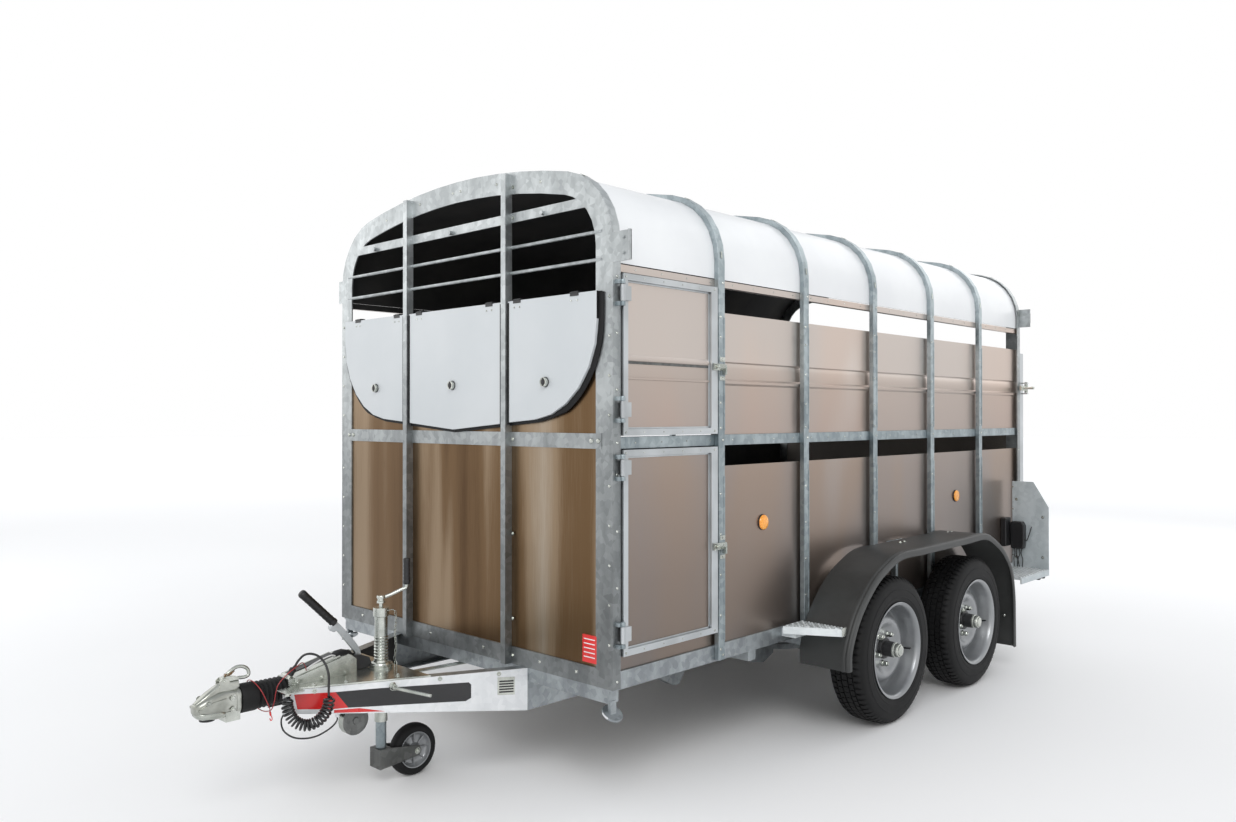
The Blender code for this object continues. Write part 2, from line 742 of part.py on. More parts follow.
def vent_flap_middle():
    def outline(half, low_middle, low_edge, top):
        return [(-half, low_edge), (0, low_middle), (half, low_edge), (half, top), (-half, top)]

    edge = FLAP_LOWEST + 0.026
    board = outline(STAY_X - BOARD_CLEARANCE, FLAP_LOWEST, edge, FLAP_HINGE_HEIGHT)
    seal = outline(STAY_X - SEAL_CLEARANCE, FLAP_LOWEST - SEAL_LIP, edge - SEAL_LIP, SEAL_TOP)
    vent_flap("middle", board, seal, flap_knob(0))


def ramp():
    """Tail ramp: a flat deck in a box frame with cross ribs on its outer face."""
    low = RAMP_HINGE[1]
    deck_low = REAR + 0.0005
    deck_high = REAR + 0.018
    shapes = [block((-RAMP_HALF_WIDTH, deck_low, low), (RAMP_HALF_WIDTH, deck_high, RAMP_TOP))]
    for x in (-RAMP_HALF_WIDTH, RAMP_HALF_WIDTH - 0.045):
        shapes.append(block((x, deck_low + 0.005, low), (x + 0.045, RAMP_FACE, RAMP_TOP)))
    rib_half = RAMP_HALF_WIDTH - 0.010
    for height in (low + 0.004, 0.900, 1.340, RAMP_TOP - 0.055):
        rib_low = (-rib_half, deck_low + 0.005, height)
        shapes.append(block(rib_low, (rib_half, RAMP_FACE - 0.002, height + 0.050)))
    x, y = LOCK_PIVOT
    for side in (1, -1):
        for height in (LOCK_HEIGHT - LUG_OFFSET, LOCK_HEIGHT + LUG_OFFSET):
            lug_low = (RAMP_HALF_WIDTH - 0.010, y - 0.011, height - 0.003)
            lug_high = (x + 0.011, y + 0.011, height + 0.003)
            shapes.append(on_side(block(lug_low, lug_high), side))
    part("ramp", "aluminium", shapes, origin=(0, *RAMP_HINGE))


def ramp_lock(label, side):
    """A swinging arm between two lugs on the ramp's edge; it lies along the rear post."""
    x, y = LOCK_PIVOT
    low = LOCK_HEIGHT - 0.015
    high = LOCK_HEIGHT + 0.015
    handle_y = y - LOCK_REACH + 0.030
    shapes = [
        rod((x, y, low - 0.013), (x, y, high + 0.013), 0.010, 10),
        block((x - 0.006, y - LOCK_REACH, low), (x + 0.006, y, high)),
        rod((x, handle_y, LOCK_HEIGHT), (x + 0.060, handle_y, LOCK_HEIGHT), 0.008, 8),
    ]
    shapes = [on_side(bm, side) for bm in shapes]
    part(f"ramp_lock_{label}", "zinc", shapes, origin=(side * x, y, LOCK_HEIGHT))


# Hitch


def hitch_housing():
    """Overrun housing, its mounting plate on the drawbar arms, and the jockey-wheel clamp."""
    front, rear = FRONT - 0.764, FRONT - 0.330
    plate = [(-0.085, front), (0.085, front), (0.290, rear), (-0.290, rear)]
    cover = [
        (FRONT - 0.745, 0.440), (FRONT - 0.497, 0.440), (FRONT - 0.497, 0.500), (FRONT - 0.520, 0.518),
        (FRONT - 0.560, 0.515), (FRONT - 0.745, 0.474),
    ]
    shapes = [
        block((-0.042, FRONT - 0.7635, 0.388), (0.042, FRONT - 0.500, 0.472)),
        prism(plate, "z", CHASSIS_TOP + GAP, 0.4490),
        prism(cover, "x", -0.052, 0.052),
        block((JOCKEY_X - 0.042, JOCKEY_Y - 0.042, 0.400), (JOCKEY_X + 0.042, JOCKEY_Y + 0.042, 0.445)),
        rod((JOCKEY_X, JOCKEY_Y, 0.447), (JOCKEY_X, JOCKEY_Y, 0.462), 0.045, 16),
        rod((0.085, FRONT - 0.541, 0.292), (0.118, FRONT - 0.541, 0.292), 0.053, 16),
        block((0.092, FRONT - 0.556, 0.300), (0.108, FRONT - 0.526, 0.446)),
        block((0.060, FRONT - 0.820, 0.4440), (0.131, FRONT - 0.750, 0.4490)),
        rod((0.115, FRONT - 0.807, 0.4365), (0.115, FRONT - 0.807, 0.4470), 0.012, 12),
        rod((0.0245, FRONT - 0.7583, 0.4722), (0.0306, FRONT - 0.7527, 0.4858), 0.0125, 12),
        rod((0.030, FRONT - 0.690, 0.480), (0.030, FRONT - 0.690, 0.4892), 0.005, 8),
    ]
    for side in (1, -1):
        middle = LEVER_PIVOT[0]
        ear = [(middle - 0.026, 0.445), (middle + 0.026, 0.445)]
        ear += [(middle + 0.018, 0.498), (middle - 0.018, 0.498)]
        shapes.append(on_side(prism(ear, "x", 0.0105, 0.0165), side))
    cutters = [
        rod((0, FRONT - 0.790, SHAFT_HEIGHT), (0, FRONT - 0.520, SHAFT_HEIGHT), 0.0262, 24),
        rod((JOCKEY_X, JOCKEY_Y, 0.380), (JOCKEY_X, JOCKEY_Y, 0.480), 0.0256, 24),
    ]
    part("hitch_housing", "zinc", shapes, cutters)


def coupling_head():
    """Ball coupling cast on the end of the overrun shaft."""
    stations = [
        (FRONT - 1.085, 0.024, 0.402, 0.452), (FRONT - 1.072, 0.034, 0.392, 0.468),
        (FRONT - 1.045, 0.041, 0.386, 0.478), (FRONT - 1.010, 0.042, 0.383, 0.486),
        (FRONT - 0.970, 0.037, 0.385, 0.478), (FRONT - 0.9305, 0.034, 0.392, 0.468),
    ]
    rings = []
    for y, half, low, high in stations:
        chamfer = 0.4 * half
        flat = half - chamfer
        rings.append(
            [
                (-flat, y, low), (flat, y, low), (half, y, low + chamfer), (half, y, high - chamfer),
                (flat, y, high), (-flat, y, high), (-half, y, high - chamfer), (-half, y, low + chamfer),
            ]
        )
    shaft = rod((0, FRONT - 0.960, SHAFT_HEIGHT), (0, FRONT - 0.620, SHAFT_HEIGHT), SHAFT_RADIUS, 24)
    foot = block((-0.030, FRONT - 0.985, 0.366), (0.030, FRONT - 0.934, 0.400))
    cup = rod((0, FRONT - 1.040, 0.350), (0, FRONT - 1.040, 0.436), 0.0258, 20)
    origin = (0, FRONT - 0.9305, SHAFT_HEIGHT)
    part("coupling_head", "zinc", [loft(rings), shaft, foot], [cup], origin=origin)


def coupling_handle():
    """The lift-up release handle on top of the head."""
    y, z = HANDLE_PIVOT
    outline = [
        (y - 0.008, z - 0.006), (y + 0.040, z - 0.006), (y + 0.096, z - 0.012), (y + 0.104, z + 0.004),
        (y + 0.092, z + 0.034), (y + 0.056, z + 0.045), (y + 0.022, z + 0.032), (y - 0.008, z + 0.012),
    ]
    opening = [
        (y + 0.045, z + 0.006), (y + 0.088, z + 0.004),
        (y + 0.080, z + 0.024), (y + 0.054, z + 0.032),
    ]
    shapes = [prism(outline, "x", -0.013, 0.013)]
    part("coupling_handle", "zinc", shapes, [prism(opening, "x", -0.030, 0.030)], origin=(0, y, z))


def shaft_bellows():
    """Rubber gaiter over the overrun shaft: a plain collar and four folds."""
    start = FRONT - 0.9300
    end = FRONT - 0.7640
    outer = [(0.050, start), (0.050, start + 0.062), (0.041, start + 0.066)]
    fold = (end - start - 0.070) / 4
    for i in range(4):
        place = start + 0.068 + fold * i
        outer += [(0.047, place + 0.35 * fold), (0.047, place + 0.60 * fold), (0.039, place + fold)]
    inner = [(0.0256, end), (0.0256, start)]
    part("shaft_bellows", "grip", [turned(outer + inner, (0, 0, SHAFT_HEIGHT), "y", 16)])


def handbrake_lever():
    y, z = LEVER_PIVOT
    bar = [
        (y - 0.014, z - 0.012), (y + 0.014, z - 0.012), (y + 0.012, z + 0.030), (y - 0.010, z + 0.062),
        (y - 0.098, z + 0.170), (y - 0.118, z + 0.152), (y - 0.036, z + 0.048),
    ]
    shapes = [
        prism(bar, "x", -0.007, 0.007),
        rod((0, y - 0.100, z + 0.153), (0, y - 0.236, z + 0.286), 0.017, 12),
        rod((-0.010, y - 0.105, z + 0.138), (0.010, y - 0.105, z + 0.138), 0.016, 12),
    ]
    part("handbrake_lever", "grip", shapes, origin=(0, y, z))


def clamp_handle():
    """Screw handle that tightens the jockey-wheel clamp."""
    start = (0.2330, CLAMP_Y, CLAMP_HEIGHT)
    shapes = [
        rod(start, (0.252, CLAMP_Y, CLAMP_HEIGHT), 0.011, 8),
        rod(
            (0.243, CLAMP_Y - 0.006, CLAMP_HEIGHT),
            (0.400, CLAMP_Y + 0.050, CLAMP_HEIGHT - 0.010),
            0.006,
            8,
        ),
    ]
    part("clamp_handle", "zinc", shapes, origin=start)


def jockey_assembly():
    axis = (JOCKEY_X, JOCKEY_Y, 0)
    mast = [
        (0.0210, 0.2415), (0.0245, 0.2415), (0.0245, 0.655), (0.030, 0.655), (0.030, 0.675), (0.009, 0.675),
        (0.009, 0.662), (0.0210, 0.662),
    ]
    part("jockey_mast", "zinc", [turned(mast, axis, "z", 24)], origin=axis)
    stem = [(0, 0.1405), (0.0202, 0.1405), (0.0202, 0.560), (0, 0.560)]
    part("jockey_stem", "zinc", [turned(stem, axis, "z", 24)], origin=axis)
    grip = (JOCKEY_X + 0.045, JOCKEY_Y + 0.085)
    spindle = [(0, 0.656), (0.0075, 0.656), (0.0075, 0.6765), (0.013, 0.6765), (0.013, 0.721), (0, 0.721)]
    crank = [
        turned(spindle, axis, "z", 12),
        rod((JOCKEY_X, JOCKEY_Y, 0.710), (*grip, 0.744), 0.0065, 8),
        rod((*grip, 0.736), (*grip, 0.756), 0.007, 8),
        rod((*grip, 0.752), (*grip, 0.860), 0.014, 12),
    ]
    part("jockey_crank", "grip", crank, origin=axis)
    half_outer = 0.036
    half_inner = 0.030
    left = JOCKEY_X - half_outer
    right = JOCKEY_X + half_outer
    wheel_axis = (JOCKEY_WHEEL_Y, JOCKEY_WHEEL_RADIUS)
    fork = [
        block((left, JOCKEY_Y - 0.026, 0.128), (right, JOCKEY_Y + 0.026, 0.140)),
        block((left, JOCKEY_Y - 0.026, 0.066), (right, JOCKEY_Y - 0.020, 0.134)),
        rod((left, *wheel_axis), (right, *wheel_axis), 0.006, 12),
    ]
    outline = [
        (JOCKEY_Y - 0.026, 0.066), (JOCKEY_WHEEL_Y + 0.010, 0.080), (JOCKEY_WHEEL_Y + 0.018, 0.100),
        (JOCKEY_WHEEL_Y + 0.010, 0.120), (JOCKEY_Y + 0.030, 0.138), (JOCKEY_Y - 0.026, 0.138),
    ]
    for low, high in ((-half_outer, -half_inner), (half_inner, half_outer)):
        fork.append(prism(outline, "x", JOCKEY_X + low, JOCKEY_X + high))
    part("jockey_fork", "galvanised", fork, origin=axis)
    wheel_profile = [
        (0.0064, -0.026), (0.016, -0.026), (0.020, -0.010), (0.062, -0.010), (0.066, -0.024),
        (0.090, -0.025), (JOCKEY_WHEEL_RADIUS, -0.016), (JOCKEY_WHEEL_RADIUS, 0.016), (0.090, 0.025),
        (0.066, 0.024), (0.062, 0.010), (0.020, 0.010), (0.016, 0.026), (0.0064, 0.026),
    ]
    centre = (JOCKEY_X, *wheel_axis)
    part("jockey_wheel", "tyre", [turned(wheel_profile, centre, "x", 20)], origin=centre)


# Leads


def leads():
    """Points are (x, y from the body front, z)."""

    def route(points):
        return [(x, FRONT + y, z) for x, y, z in points]

    curl = route([
        (0.115, -0.807, 0.4362), (0.115, -0.807, 0.418), (0.115, -0.807, 0.402), (0.121, -0.797, 0.366),
        (0.134, -0.777, 0.340), (0.150, -0.747, 0.330), (0.168, -0.716, 0.344), (0.181, -0.696, 0.374),
        (0.185, -0.688, 0.402), (0.185, -0.688, 0.416), (0.185, -0.688, 0.428),
    ])
    tube("lead_curl", "lead", curl, COIL_RADIUS, 0.016, 2)
    tail = route([
        (0.185, -0.688, 0.4285), (0.185, -0.688, 0.445), (0.184, -0.687, 0.466), (0.177, -0.684, 0.498),
        (0.158, -0.685, 0.530), (0.130, -0.693, 0.554), (0.098, -0.706, 0.562), (0.070, -0.720, 0.555),
        (0.0520, -0.7320, 0.5345), (0.0444, -0.7398, 0.5168),
    ])
    tube("lead_tail", "lead", tail, LEAD_RADIUS, 0.010, 2)
    plug_top = Vector((0.0443, FRONT - 0.7400, 0.5163))
    plug_low = Vector((0.0308, FRONT - 0.7525, 0.4862))
    plug_axis = (plug_low - plug_top).normalized()
    plug = [
        rod(plug_top, plug_top + 0.014 * plug_axis, 0.006, 12, 0.010),
        rod(plug_top + 0.012 * plug_axis, plug_low, 0.0125, 12),
    ]
    part("lead_plug", "lead", plug)
    breakaway = route([
        (0.030, -0.690, 0.4895), (0.030, -0.693, 0.502), (0.044, -0.712, 0.522), (0.064, -0.745, 0.518),
        (0.076, -0.788, 0.500), (0.082, -0.822, 0.474), (0.082, -0.832, 0.446),
        (0.076, -0.834, 0.416), (0.060, -0.836, 0.386), (0.034, -0.840, 0.374), (0.000, -0.846, 0.3725),
        (-0.034, -0.852, 0.384), (-0.056, -0.860, 0.410), (-0.060, -0.868, 0.438),
        (-0.047, -0.876, 0.462), (-0.021, -0.882, 0.4810), (0.010, -0.882, 0.4835), (0.037, -0.876, 0.471),
        (0.056, -0.868, 0.450), (0.067, -0.858, 0.420), (0.073, -0.850, 0.396), (0.074, -0.849, 0.384),
    ])
    tube("breakaway_cable", "red_lead", breakaway, BREAKAWAY_RADIUS, 0.010, 2)
    hook_top = Vector((0.0740, FRONT - 0.8490, 0.3832))
    hook_tip = hook_top + Vector((0.002, 0.004, -0.034))
    hook = [
        rod(hook_top, hook_top + Vector((0.001, 0.002, -0.014)), 0.0035, 8),
        rod(hook_top + Vector((0.001, 0.002, -0.012)), hook_tip, 0.006, 8, 0.002),
    ]
    part("breakaway_hook", "red_lead", hook)
    brake = route([
        (0.125, -0.620, 0.3245), (0.125, -0.620, 0.314), (0.128, -0.634, 0.301), (0.134, -0.662, 0.290),
        (0.138, -0.705, 0.280),
        (0.136, -0.750, 0.281), (0.124, -0.790, 0.292), (0.100, -0.812, 0.314), (0.070, -0.806, 0.338),
        (0.044, -0.784, 0.352), (0.024, -0.757, 0.3600), (0.015, -0.7300, 0.3660), (0.009, -0.710, 0.3720),
        (0.008, -0.706, 0.3790), (0.008, -0.706, 0.3875),
    ])
    tube("brake_cable", "lead", brake, BRAKE_CABLE_RADIUS, 0.010, 2)


def build():
    clear_scene()
    chassis_frame()
    floor_deck()
    axle("axle_front", FRONT_AXLE_Y)
    axle("axle_rear", REAR_AXLE_Y)
    front_frame()
    rear_frame()
    hoops()
    roof_sheet()
    front_panel()
    for label, side in (("near", 1), ("far", -1)):
        side_rails(label, side)
        side_panels(label, side, has_doors=side > 0)
        spring_pack(f"spring_pack_{label}", side)
        mudguard(f"mudguard_{label}", side)
        vent_flap_side(label, side)
        ramp_lock(label, side)
        wheel(f"front_{label}", side, FRONT_AXLE_Y)
        wheel(f"rear_{label}", side, REAR_AXLE_Y)
    vent_flap_middle()
    door("door_upper", 1.337, 1.915, (1.430, 1.842))
    door("door_lower", 0.555, 1.287, (0.636, 1.225))
    door_latch("latch_upper", 1.600)
    door_latch("latch_lower", 0.895)
    ramp()
    hitch_housing()
    coupling_head()
    coupling_handle()
    shaft_bellows()
    handbrake_lever()
    clamp_handle()
    jockey_assembly()
    leads()


build()
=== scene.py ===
import math

import bmesh
import bpy
from mathutils import Matrix, Vector


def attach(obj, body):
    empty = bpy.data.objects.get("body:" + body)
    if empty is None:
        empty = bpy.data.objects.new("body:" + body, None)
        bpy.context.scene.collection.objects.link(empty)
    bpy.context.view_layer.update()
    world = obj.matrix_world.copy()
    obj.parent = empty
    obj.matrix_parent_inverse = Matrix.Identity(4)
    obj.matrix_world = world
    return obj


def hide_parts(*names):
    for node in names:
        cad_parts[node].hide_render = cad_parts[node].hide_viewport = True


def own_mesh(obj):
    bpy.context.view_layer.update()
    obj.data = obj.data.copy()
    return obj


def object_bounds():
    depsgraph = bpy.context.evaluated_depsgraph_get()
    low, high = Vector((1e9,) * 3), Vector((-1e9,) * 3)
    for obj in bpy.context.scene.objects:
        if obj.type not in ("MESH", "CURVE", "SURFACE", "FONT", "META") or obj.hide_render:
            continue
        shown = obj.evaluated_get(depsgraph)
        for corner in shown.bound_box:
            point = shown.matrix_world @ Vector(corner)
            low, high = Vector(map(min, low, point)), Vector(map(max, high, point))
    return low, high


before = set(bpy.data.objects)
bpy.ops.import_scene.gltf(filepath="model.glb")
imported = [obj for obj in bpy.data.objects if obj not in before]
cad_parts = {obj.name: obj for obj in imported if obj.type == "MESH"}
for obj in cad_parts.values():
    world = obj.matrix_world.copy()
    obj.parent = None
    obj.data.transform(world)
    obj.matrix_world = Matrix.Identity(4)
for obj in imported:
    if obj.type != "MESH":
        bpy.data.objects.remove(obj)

# The looks of a livestock trailer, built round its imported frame.
# Metres; +Z up, -Y towards the towing vehicle, +X the side with the doors.

CAD_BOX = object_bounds()
FRONT = -1.33
BAY = 0.61
REAR = FRONT + 6 * BAY
AXLES = (FRONT + 1.647, FRONT + 2.5)
AXLE_HEIGHT = 0.3345
WHEEL_X = 1.04
PANEL = 0.884
FLAP_FACE = FRONT - 0.02
FLAP_BACK = FRONT - 0.006
STAY_X = 0.336
JOCKEY = (0.045, FRONT - 0.388)
JOCKEY_WHEEL = (0.045, FRONT - 0.246, 0.1)
SHAFT = 0.43
DOOR_HINGE_X = 0.925
DOOR_HINGE_Y = FRONT + 0.03
LEVER = (FRONT - 0.46, 0.48)
HANDLE = (FRONT - 0.985, 0.504)
SIDES = (("near", 1), ("far", -1))

scene = bpy.context.scene
scene.view_settings.view_transform = "Standard"
scene.view_settings.look = "None"


# Shader building


class Shader:
    """A Principled material and short calls to add nodes to it."""

    def __init__(self, name, roughness=0.5, metallic=0.0, **constants):
        self.material = bpy.data.materials.new(name)
        self.material.use_nodes = True
        self.tree = self.material.node_tree
        self.out = self.tree.nodes["Principled BSDF"]
        self.out.inputs["Roughness"].default_value = roughness
        self.out.inputs["Metallic"].default_value = metallic
        for socket, value in constants.items():
            self.out.inputs[socket.replace("_", " ")].default_value = value
        self.coords = self.tree.nodes.new("ShaderNodeTexCoord").outputs["Object"]

    def link(self, source, target):
        self.tree.links.new(source, target)
        return self

    def place(self, scale=(1, 1, 1), turn=(0, 0, 0)):
        node = self.tree.nodes.new("ShaderNodeMapping")
        node.inputs["Scale"].default_value = scale
        node.inputs["Rotation"].default_value = turn
        self.link(self.coords, node.inputs["Vector"])
        return node.outputs["Vector"]

    def noise(self, scale, stretch=(1, 1, 1), detail=4.0, rough=0.55, turn=(0, 0, 0), warp=0.0):
        node = self.tree.nodes.new("ShaderNodeTexNoise")
        node.inputs["Scale"].default_value = scale
        node.inputs["Detail"].default_value = detail
        node.inputs["Roughness"].default_value = rough
        node.inputs["Distortion"].default_value = warp
        self.link(self.place(stretch, turn), node.inputs["Vector"])
        return node.outputs["Fac"]

    def cells(self, scale, stretch=(1, 1, 1)):
        node = self.tree.nodes.new("ShaderNodeTexVoronoi")
        node.inputs["Scale"].default_value = scale
        self.link(self.place(stretch), node.inputs["Vector"])
        spread = self.tree.nodes.new("ShaderNodeSeparateColor")
        self.link(node.outputs["Color"], spread.inputs["Color"])
        return spread.outputs["Red"]

    def bands(self, scale, direction="X", warp=0.0):
        node = self.tree.nodes.new("ShaderNodeTexWave")
        node.bands_direction = direction
        node.inputs["Scale"].default_value = scale
        node.inputs["Distortion"].default_value = warp
        self.link(self.coords, node.inputs["Vector"])
        return node.outputs["Fac"]

    def math(self, kind, first, second=0.0):
        node = self.tree.nodes.new("ShaderNodeMath")
        node.operation = kind
        for socket, value in zip(node.inputs, (first, second)):
            if isinstance(value, (int, float)):
                socket.default_value = value
            else:
                self.link(value, socket)
        return node.outputs["Value"]

    def ramp(self, fac, stops, smooth=True):
        node = self.tree.nodes.new("ShaderNodeValToRGB")
        node.color_ramp.interpolation = "EASE" if smooth else "LINEAR"
        elements = node.color_ramp.elements
        for element, (place, colour) in zip(elements, stops[:2]):
            element.position = place
            element.color = (*colour, 1.0)
        for place, colour in stops[2:]:
            elements.new(place).color = (*colour, 1.0)
        self.link(fac, node.inputs["Fac"])
        return node.outputs["Color"]

    def mix(self, fac, first, second, blend="MIX"):
        node = self.tree.nodes.new("ShaderNodeMix")
        node.data_type = "RGBA"
        node.blend_type = blend
        for socket, value in ((node.inputs[0], fac), (node.inputs[6], first), (node.inputs[7], second)):
            if isinstance(value, (int, float)):
                socket.default_value = value
            elif isinstance(value, tuple):
                socket.default_value = (*value, 1.0)
            else:
                self.link(value, socket)
        return node.outputs[2]

    def colour(self, output):
        return self.link(output, self.out.inputs["Base Color"])

    def roughness(self, fac, low, high):
        node = self.tree.nodes.new("ShaderNodeMapRange")
        node.inputs["To Min"].default_value = low
        node.inputs["To Max"].default_value = high
        self.link(fac, node.inputs["Value"])
        return self.link(node.outputs["Result"], self.out.inputs["Roughness"])

    def bump(self, height, strength, distance=0.001):
        node = self.tree.nodes.new("ShaderNodeBump")
        node.inputs["Strength"].default_value = strength
        node.inputs["Distance"].default_value = distance
        self.link(height, node.inputs["Height"])
        return self.link(node.outputs["Normal"], self.out.inputs["Normal"])


def height_share(s, low, high):
    """0 at the low height, 1 at the high one."""
    split = s.tree.nodes.new("ShaderNodeSeparateXYZ")
    s.link(s.coords, split.inputs["Vector"])
    node = s.tree.nodes.new("ShaderNodeMapRange")
    node.inputs["From Min"].default_value = low
    node.inputs["From Max"].default_value = high
    s.link(split.outputs["Z"], node.inputs["Value"])
    return node.outputs["Result"]


def galvanised_material(name, dark, light, streak_turn=0.6, foot=1.0, metallic=0.82):
    """Hot-dip zinc: faint crystals, slow clouds and diagonal runs, with painted shade that darkens it
    towards the bottom.
    """
    s = Shader(name, metallic=metallic)
    crystals = s.cells(46.0)
    clouds = s.noise(3.2, detail=5.0, warp=0.5)
    runs = s.noise(15.0, stretch=(1.0, 1.0, 0.16), detail=3.0, turn=(streak_turn, streak_turn, 0.0))
    tone = s.math("ADD", s.math("MULTIPLY", crystals, 0.14), s.math("MULTIPLY", clouds, 0.46))
    tone = s.math("ADD", tone, s.math("MULTIPLY", runs, 0.44))
    metal = s.ramp(tone, [(0.32, dark), (0.76, light)])
    # Painted shade: the colour darkens from 2.1 m down to 0.7 m.
    if foot < 1.0:
        shade = s.ramp(height_share(s, 0.7, 2.1), [(0.0, (foot, foot, foot)), (1.0, (1.0, 1.0, 1.0))])
        metal = s.mix(1.0, metal, shade, "MULTIPLY")
    s.colour(metal)
    s.roughness(tone, 0.3, 0.48)
    s.bump(s.math("ADD", crystals, runs), 0.08)
    return s.material


def sheet_material(name, stops, streak=(9.0, 9.0, 0.35), rough=(0.24, 0.4), steps=()):
    """Mill-finish aluminium sheet: tall soft clouds, which on the wall sheets are painted reflections, fine
    rolling lines, and painted light and shade for each height.
    """
    s = Shader(name, metallic=0.92)
    clouds = s.noise(1.0, stretch=streak, detail=2.0, rough=0.45, warp=0.2)
    lines = s.noise(60.0, stretch=(6.0, 6.0, 0.15), detail=2.0)
    tone = s.math("ADD", s.math("MULTIPLY", clouds, 0.92), s.math("MULTIPLY", lines, 0.08))
    metal = s.ramp(tone, stops)
    # Painted light and shade: the colour is multiplied by a tone that changes with height.
    if steps:
        shade = s.ramp(height_share(s, 0.4, 2.0), [((z - 0.4) / 1.6, colour) for z, colour in steps],
                smooth=False)
        metal = s.mix(1.0, metal, shade, "MULTIPLY")
    s.colour(metal)
    s.roughness(lines, *rough)
    s.bump(lines, 0.04, 0.0004)
    return s.material


def coated_material(name, dark, light, rough, grain_scale, grain, coat=0.0, metallic=0.0):
    """Paint, plastic or rubber: a slow colour drift and a fine grain."""
    s = Shader(name, metallic=metallic, Coat_Weight=coat)
    drift = s.noise(3.5, detail=5.0)
    fine = s.noise(grain_scale, detail=3.0)
    s.colour(s.ramp(drift, [(0.35, dark), (0.7, light)]))
    s.roughness(drift, *rough)
    s.bump(fine, grain, 0.0006)
    return s.material


def plated_material(name, dark, light, rough=(0.16, 0.32)):
    """Bright zinc plate, faintly yellow in places."""
    s = Shader(name, metallic=0.95)
    patches = s.noise(9.0, detail=5.0, warp=0.6)
    fine = s.noise(160.0, detail=2.0)
    plain = s.ramp(patches, [(0.3, dark), (0.72, light)])
    s.colour(s.mix(s.math("MULTIPLY", s.noise(4.0), 0.35), plain, (0.62, 0.59, 0.46)))
    s.roughness(patches, *rough)
    s.bump(fine, 0.08, 0.0004)
    return s.material


def white_sheet_material(name, low, high, rough):
    """White glass-fibre or board with faint waviness and a slow colour drift."""
    s = Shader(name, Coat_Weight=0.25)
    s.out.inputs["Coat Roughness"].default_value = 0.15
    drift = s.noise(2.2, detail=4.0)
    s.colour(s.ramp(drift, [(0.3, low), (0.75, high)]))
    s.roughness(drift, *rough)
    s.bump(s.noise(34.0, detail=3.0), 0.05, 0.0008)
    return s.material


def tread_plate_material(name):
    """Ribbed and dirty non-slip metal."""
    s = Shader(name, metallic=0.35)
    bars = s.bands(16.0, "DIAGONAL")
    cross = s.bands(16.0, "Y")
    raised = s.math("MULTIPLY", bars, cross)
    s.colour(s.ramp(s.math("ADD", s.math("MULTIPLY", raised, 0.6), s.math("MULTIPLY", s.noise(8.0), 0.5)),
            [(0.2, (0.42, 0.44, 0.44)), (0.6, (0.84, 0.87, 0.88))]))
    s.roughness(raised, 0.3, 0.5)
    s.bump(raised, 0.5, 0.0012)
    return s.material


def rubber_material(name, dark, light, ribs=0.0):
    s = Shader(name, Specular_IOR_Level=0.35)
    wear = s.noise(12.0, detail=6.0)
    fine = s.noise(260.0, detail=2.0)
    s.colour(s.ramp(wear, [(0.35, dark), (0.75, light)]))
    s.roughness(wear, 0.52, 0.78)
    s.bump(fine, 0.12 + ribs, 0.0005)
    return s.material


def lens_material(name, deep, bright):
    """Moulded lamp lens with fine prisms."""
    s = Shader(name, roughness=0.14, Coat_Weight=0.6)
    s.out.inputs["Subsurface Weight"].default_value = 0.15
    s.out.inputs["Subsurface Radius"].default_value = (0.01, 0.005, 0.002)
    prisms = s.cells(420.0)
    s.colour(s.ramp(prisms, [(0.1, deep), (0.9, bright)]))
    s.bump(prisms, 0.25, 0.0006)
    return s.material


def wood_material(name):
    """Resin-faced birch floor: dark film over faint grain, scuffed."""
    s = Shader(name)
    grain = s.noise(30.0, stretch=(6.0, 0.6, 6.0), detail=6.0)
    scuff = s.noise(7.0, detail=7.0)
    base = s.ramp(grain, [(0.3, (0.1, 0.085, 0.07)), (0.75, (0.19, 0.165, 0.14))])
    s.colour(s.mix(s.math("MULTIPLY", scuff, 0.3), base, (0.3, 0.29, 0.28)))
    s.roughness(scuff, 0.5, 0.8)
    s.bump(grain, 0.2)
    return s.material


GALVANISED = galvanised_material("galvanised_plate", (0.3, 0.32, 0.325), (0.58, 0.61, 0.615), foot=0.5)
HOOP = galvanised_material("galvanised_section", (0.24, 0.285, 0.305), (0.48, 0.54, 0.56), 0.2, 0.85)
CHASSIS = galvanised_material("galvanised_chassis", (0.23, 0.25, 0.265), (0.44, 0.475, 0.49), 0.9)
DRAWBAR = galvanised_material("galvanised_drawbar", (0.68, 0.7, 0.715), (0.84, 0.855, 0.865), 0.9,
        metallic=0.55)
BOARD = galvanised_material("galvanised_board", (0.42, 0.47, 0.49), (0.58, 0.63, 0.65), 0.9, metallic=0.22)
STEP = galvanised_material("galvanised_step", (0.62, 0.66, 0.67), (0.8, 0.84, 0.85), 0.9, metallic=0.3)
DULL_STEEL = galvanised_material("galvanised_dull", (0.085, 0.088, 0.085), (0.2, 0.205, 0.2))
# Painted reflection: the brown and tan vertical streaks of the front sheets are reflected surroundings
# painted into the aluminium's colour.
SHEET_FRONT_PAINTED_REFLECTION = sheet_material(
    "aluminium_front_painted_reflection",
    [(0.34, (0.078, 0.04, 0.016)), (0.48, (0.145, 0.086, 0.041)), (0.6, (0.27, 0.195, 0.125)),
     (0.72, (0.4, 0.34, 0.27))],
    streak=(4.2, 4.2, 0.22),
)
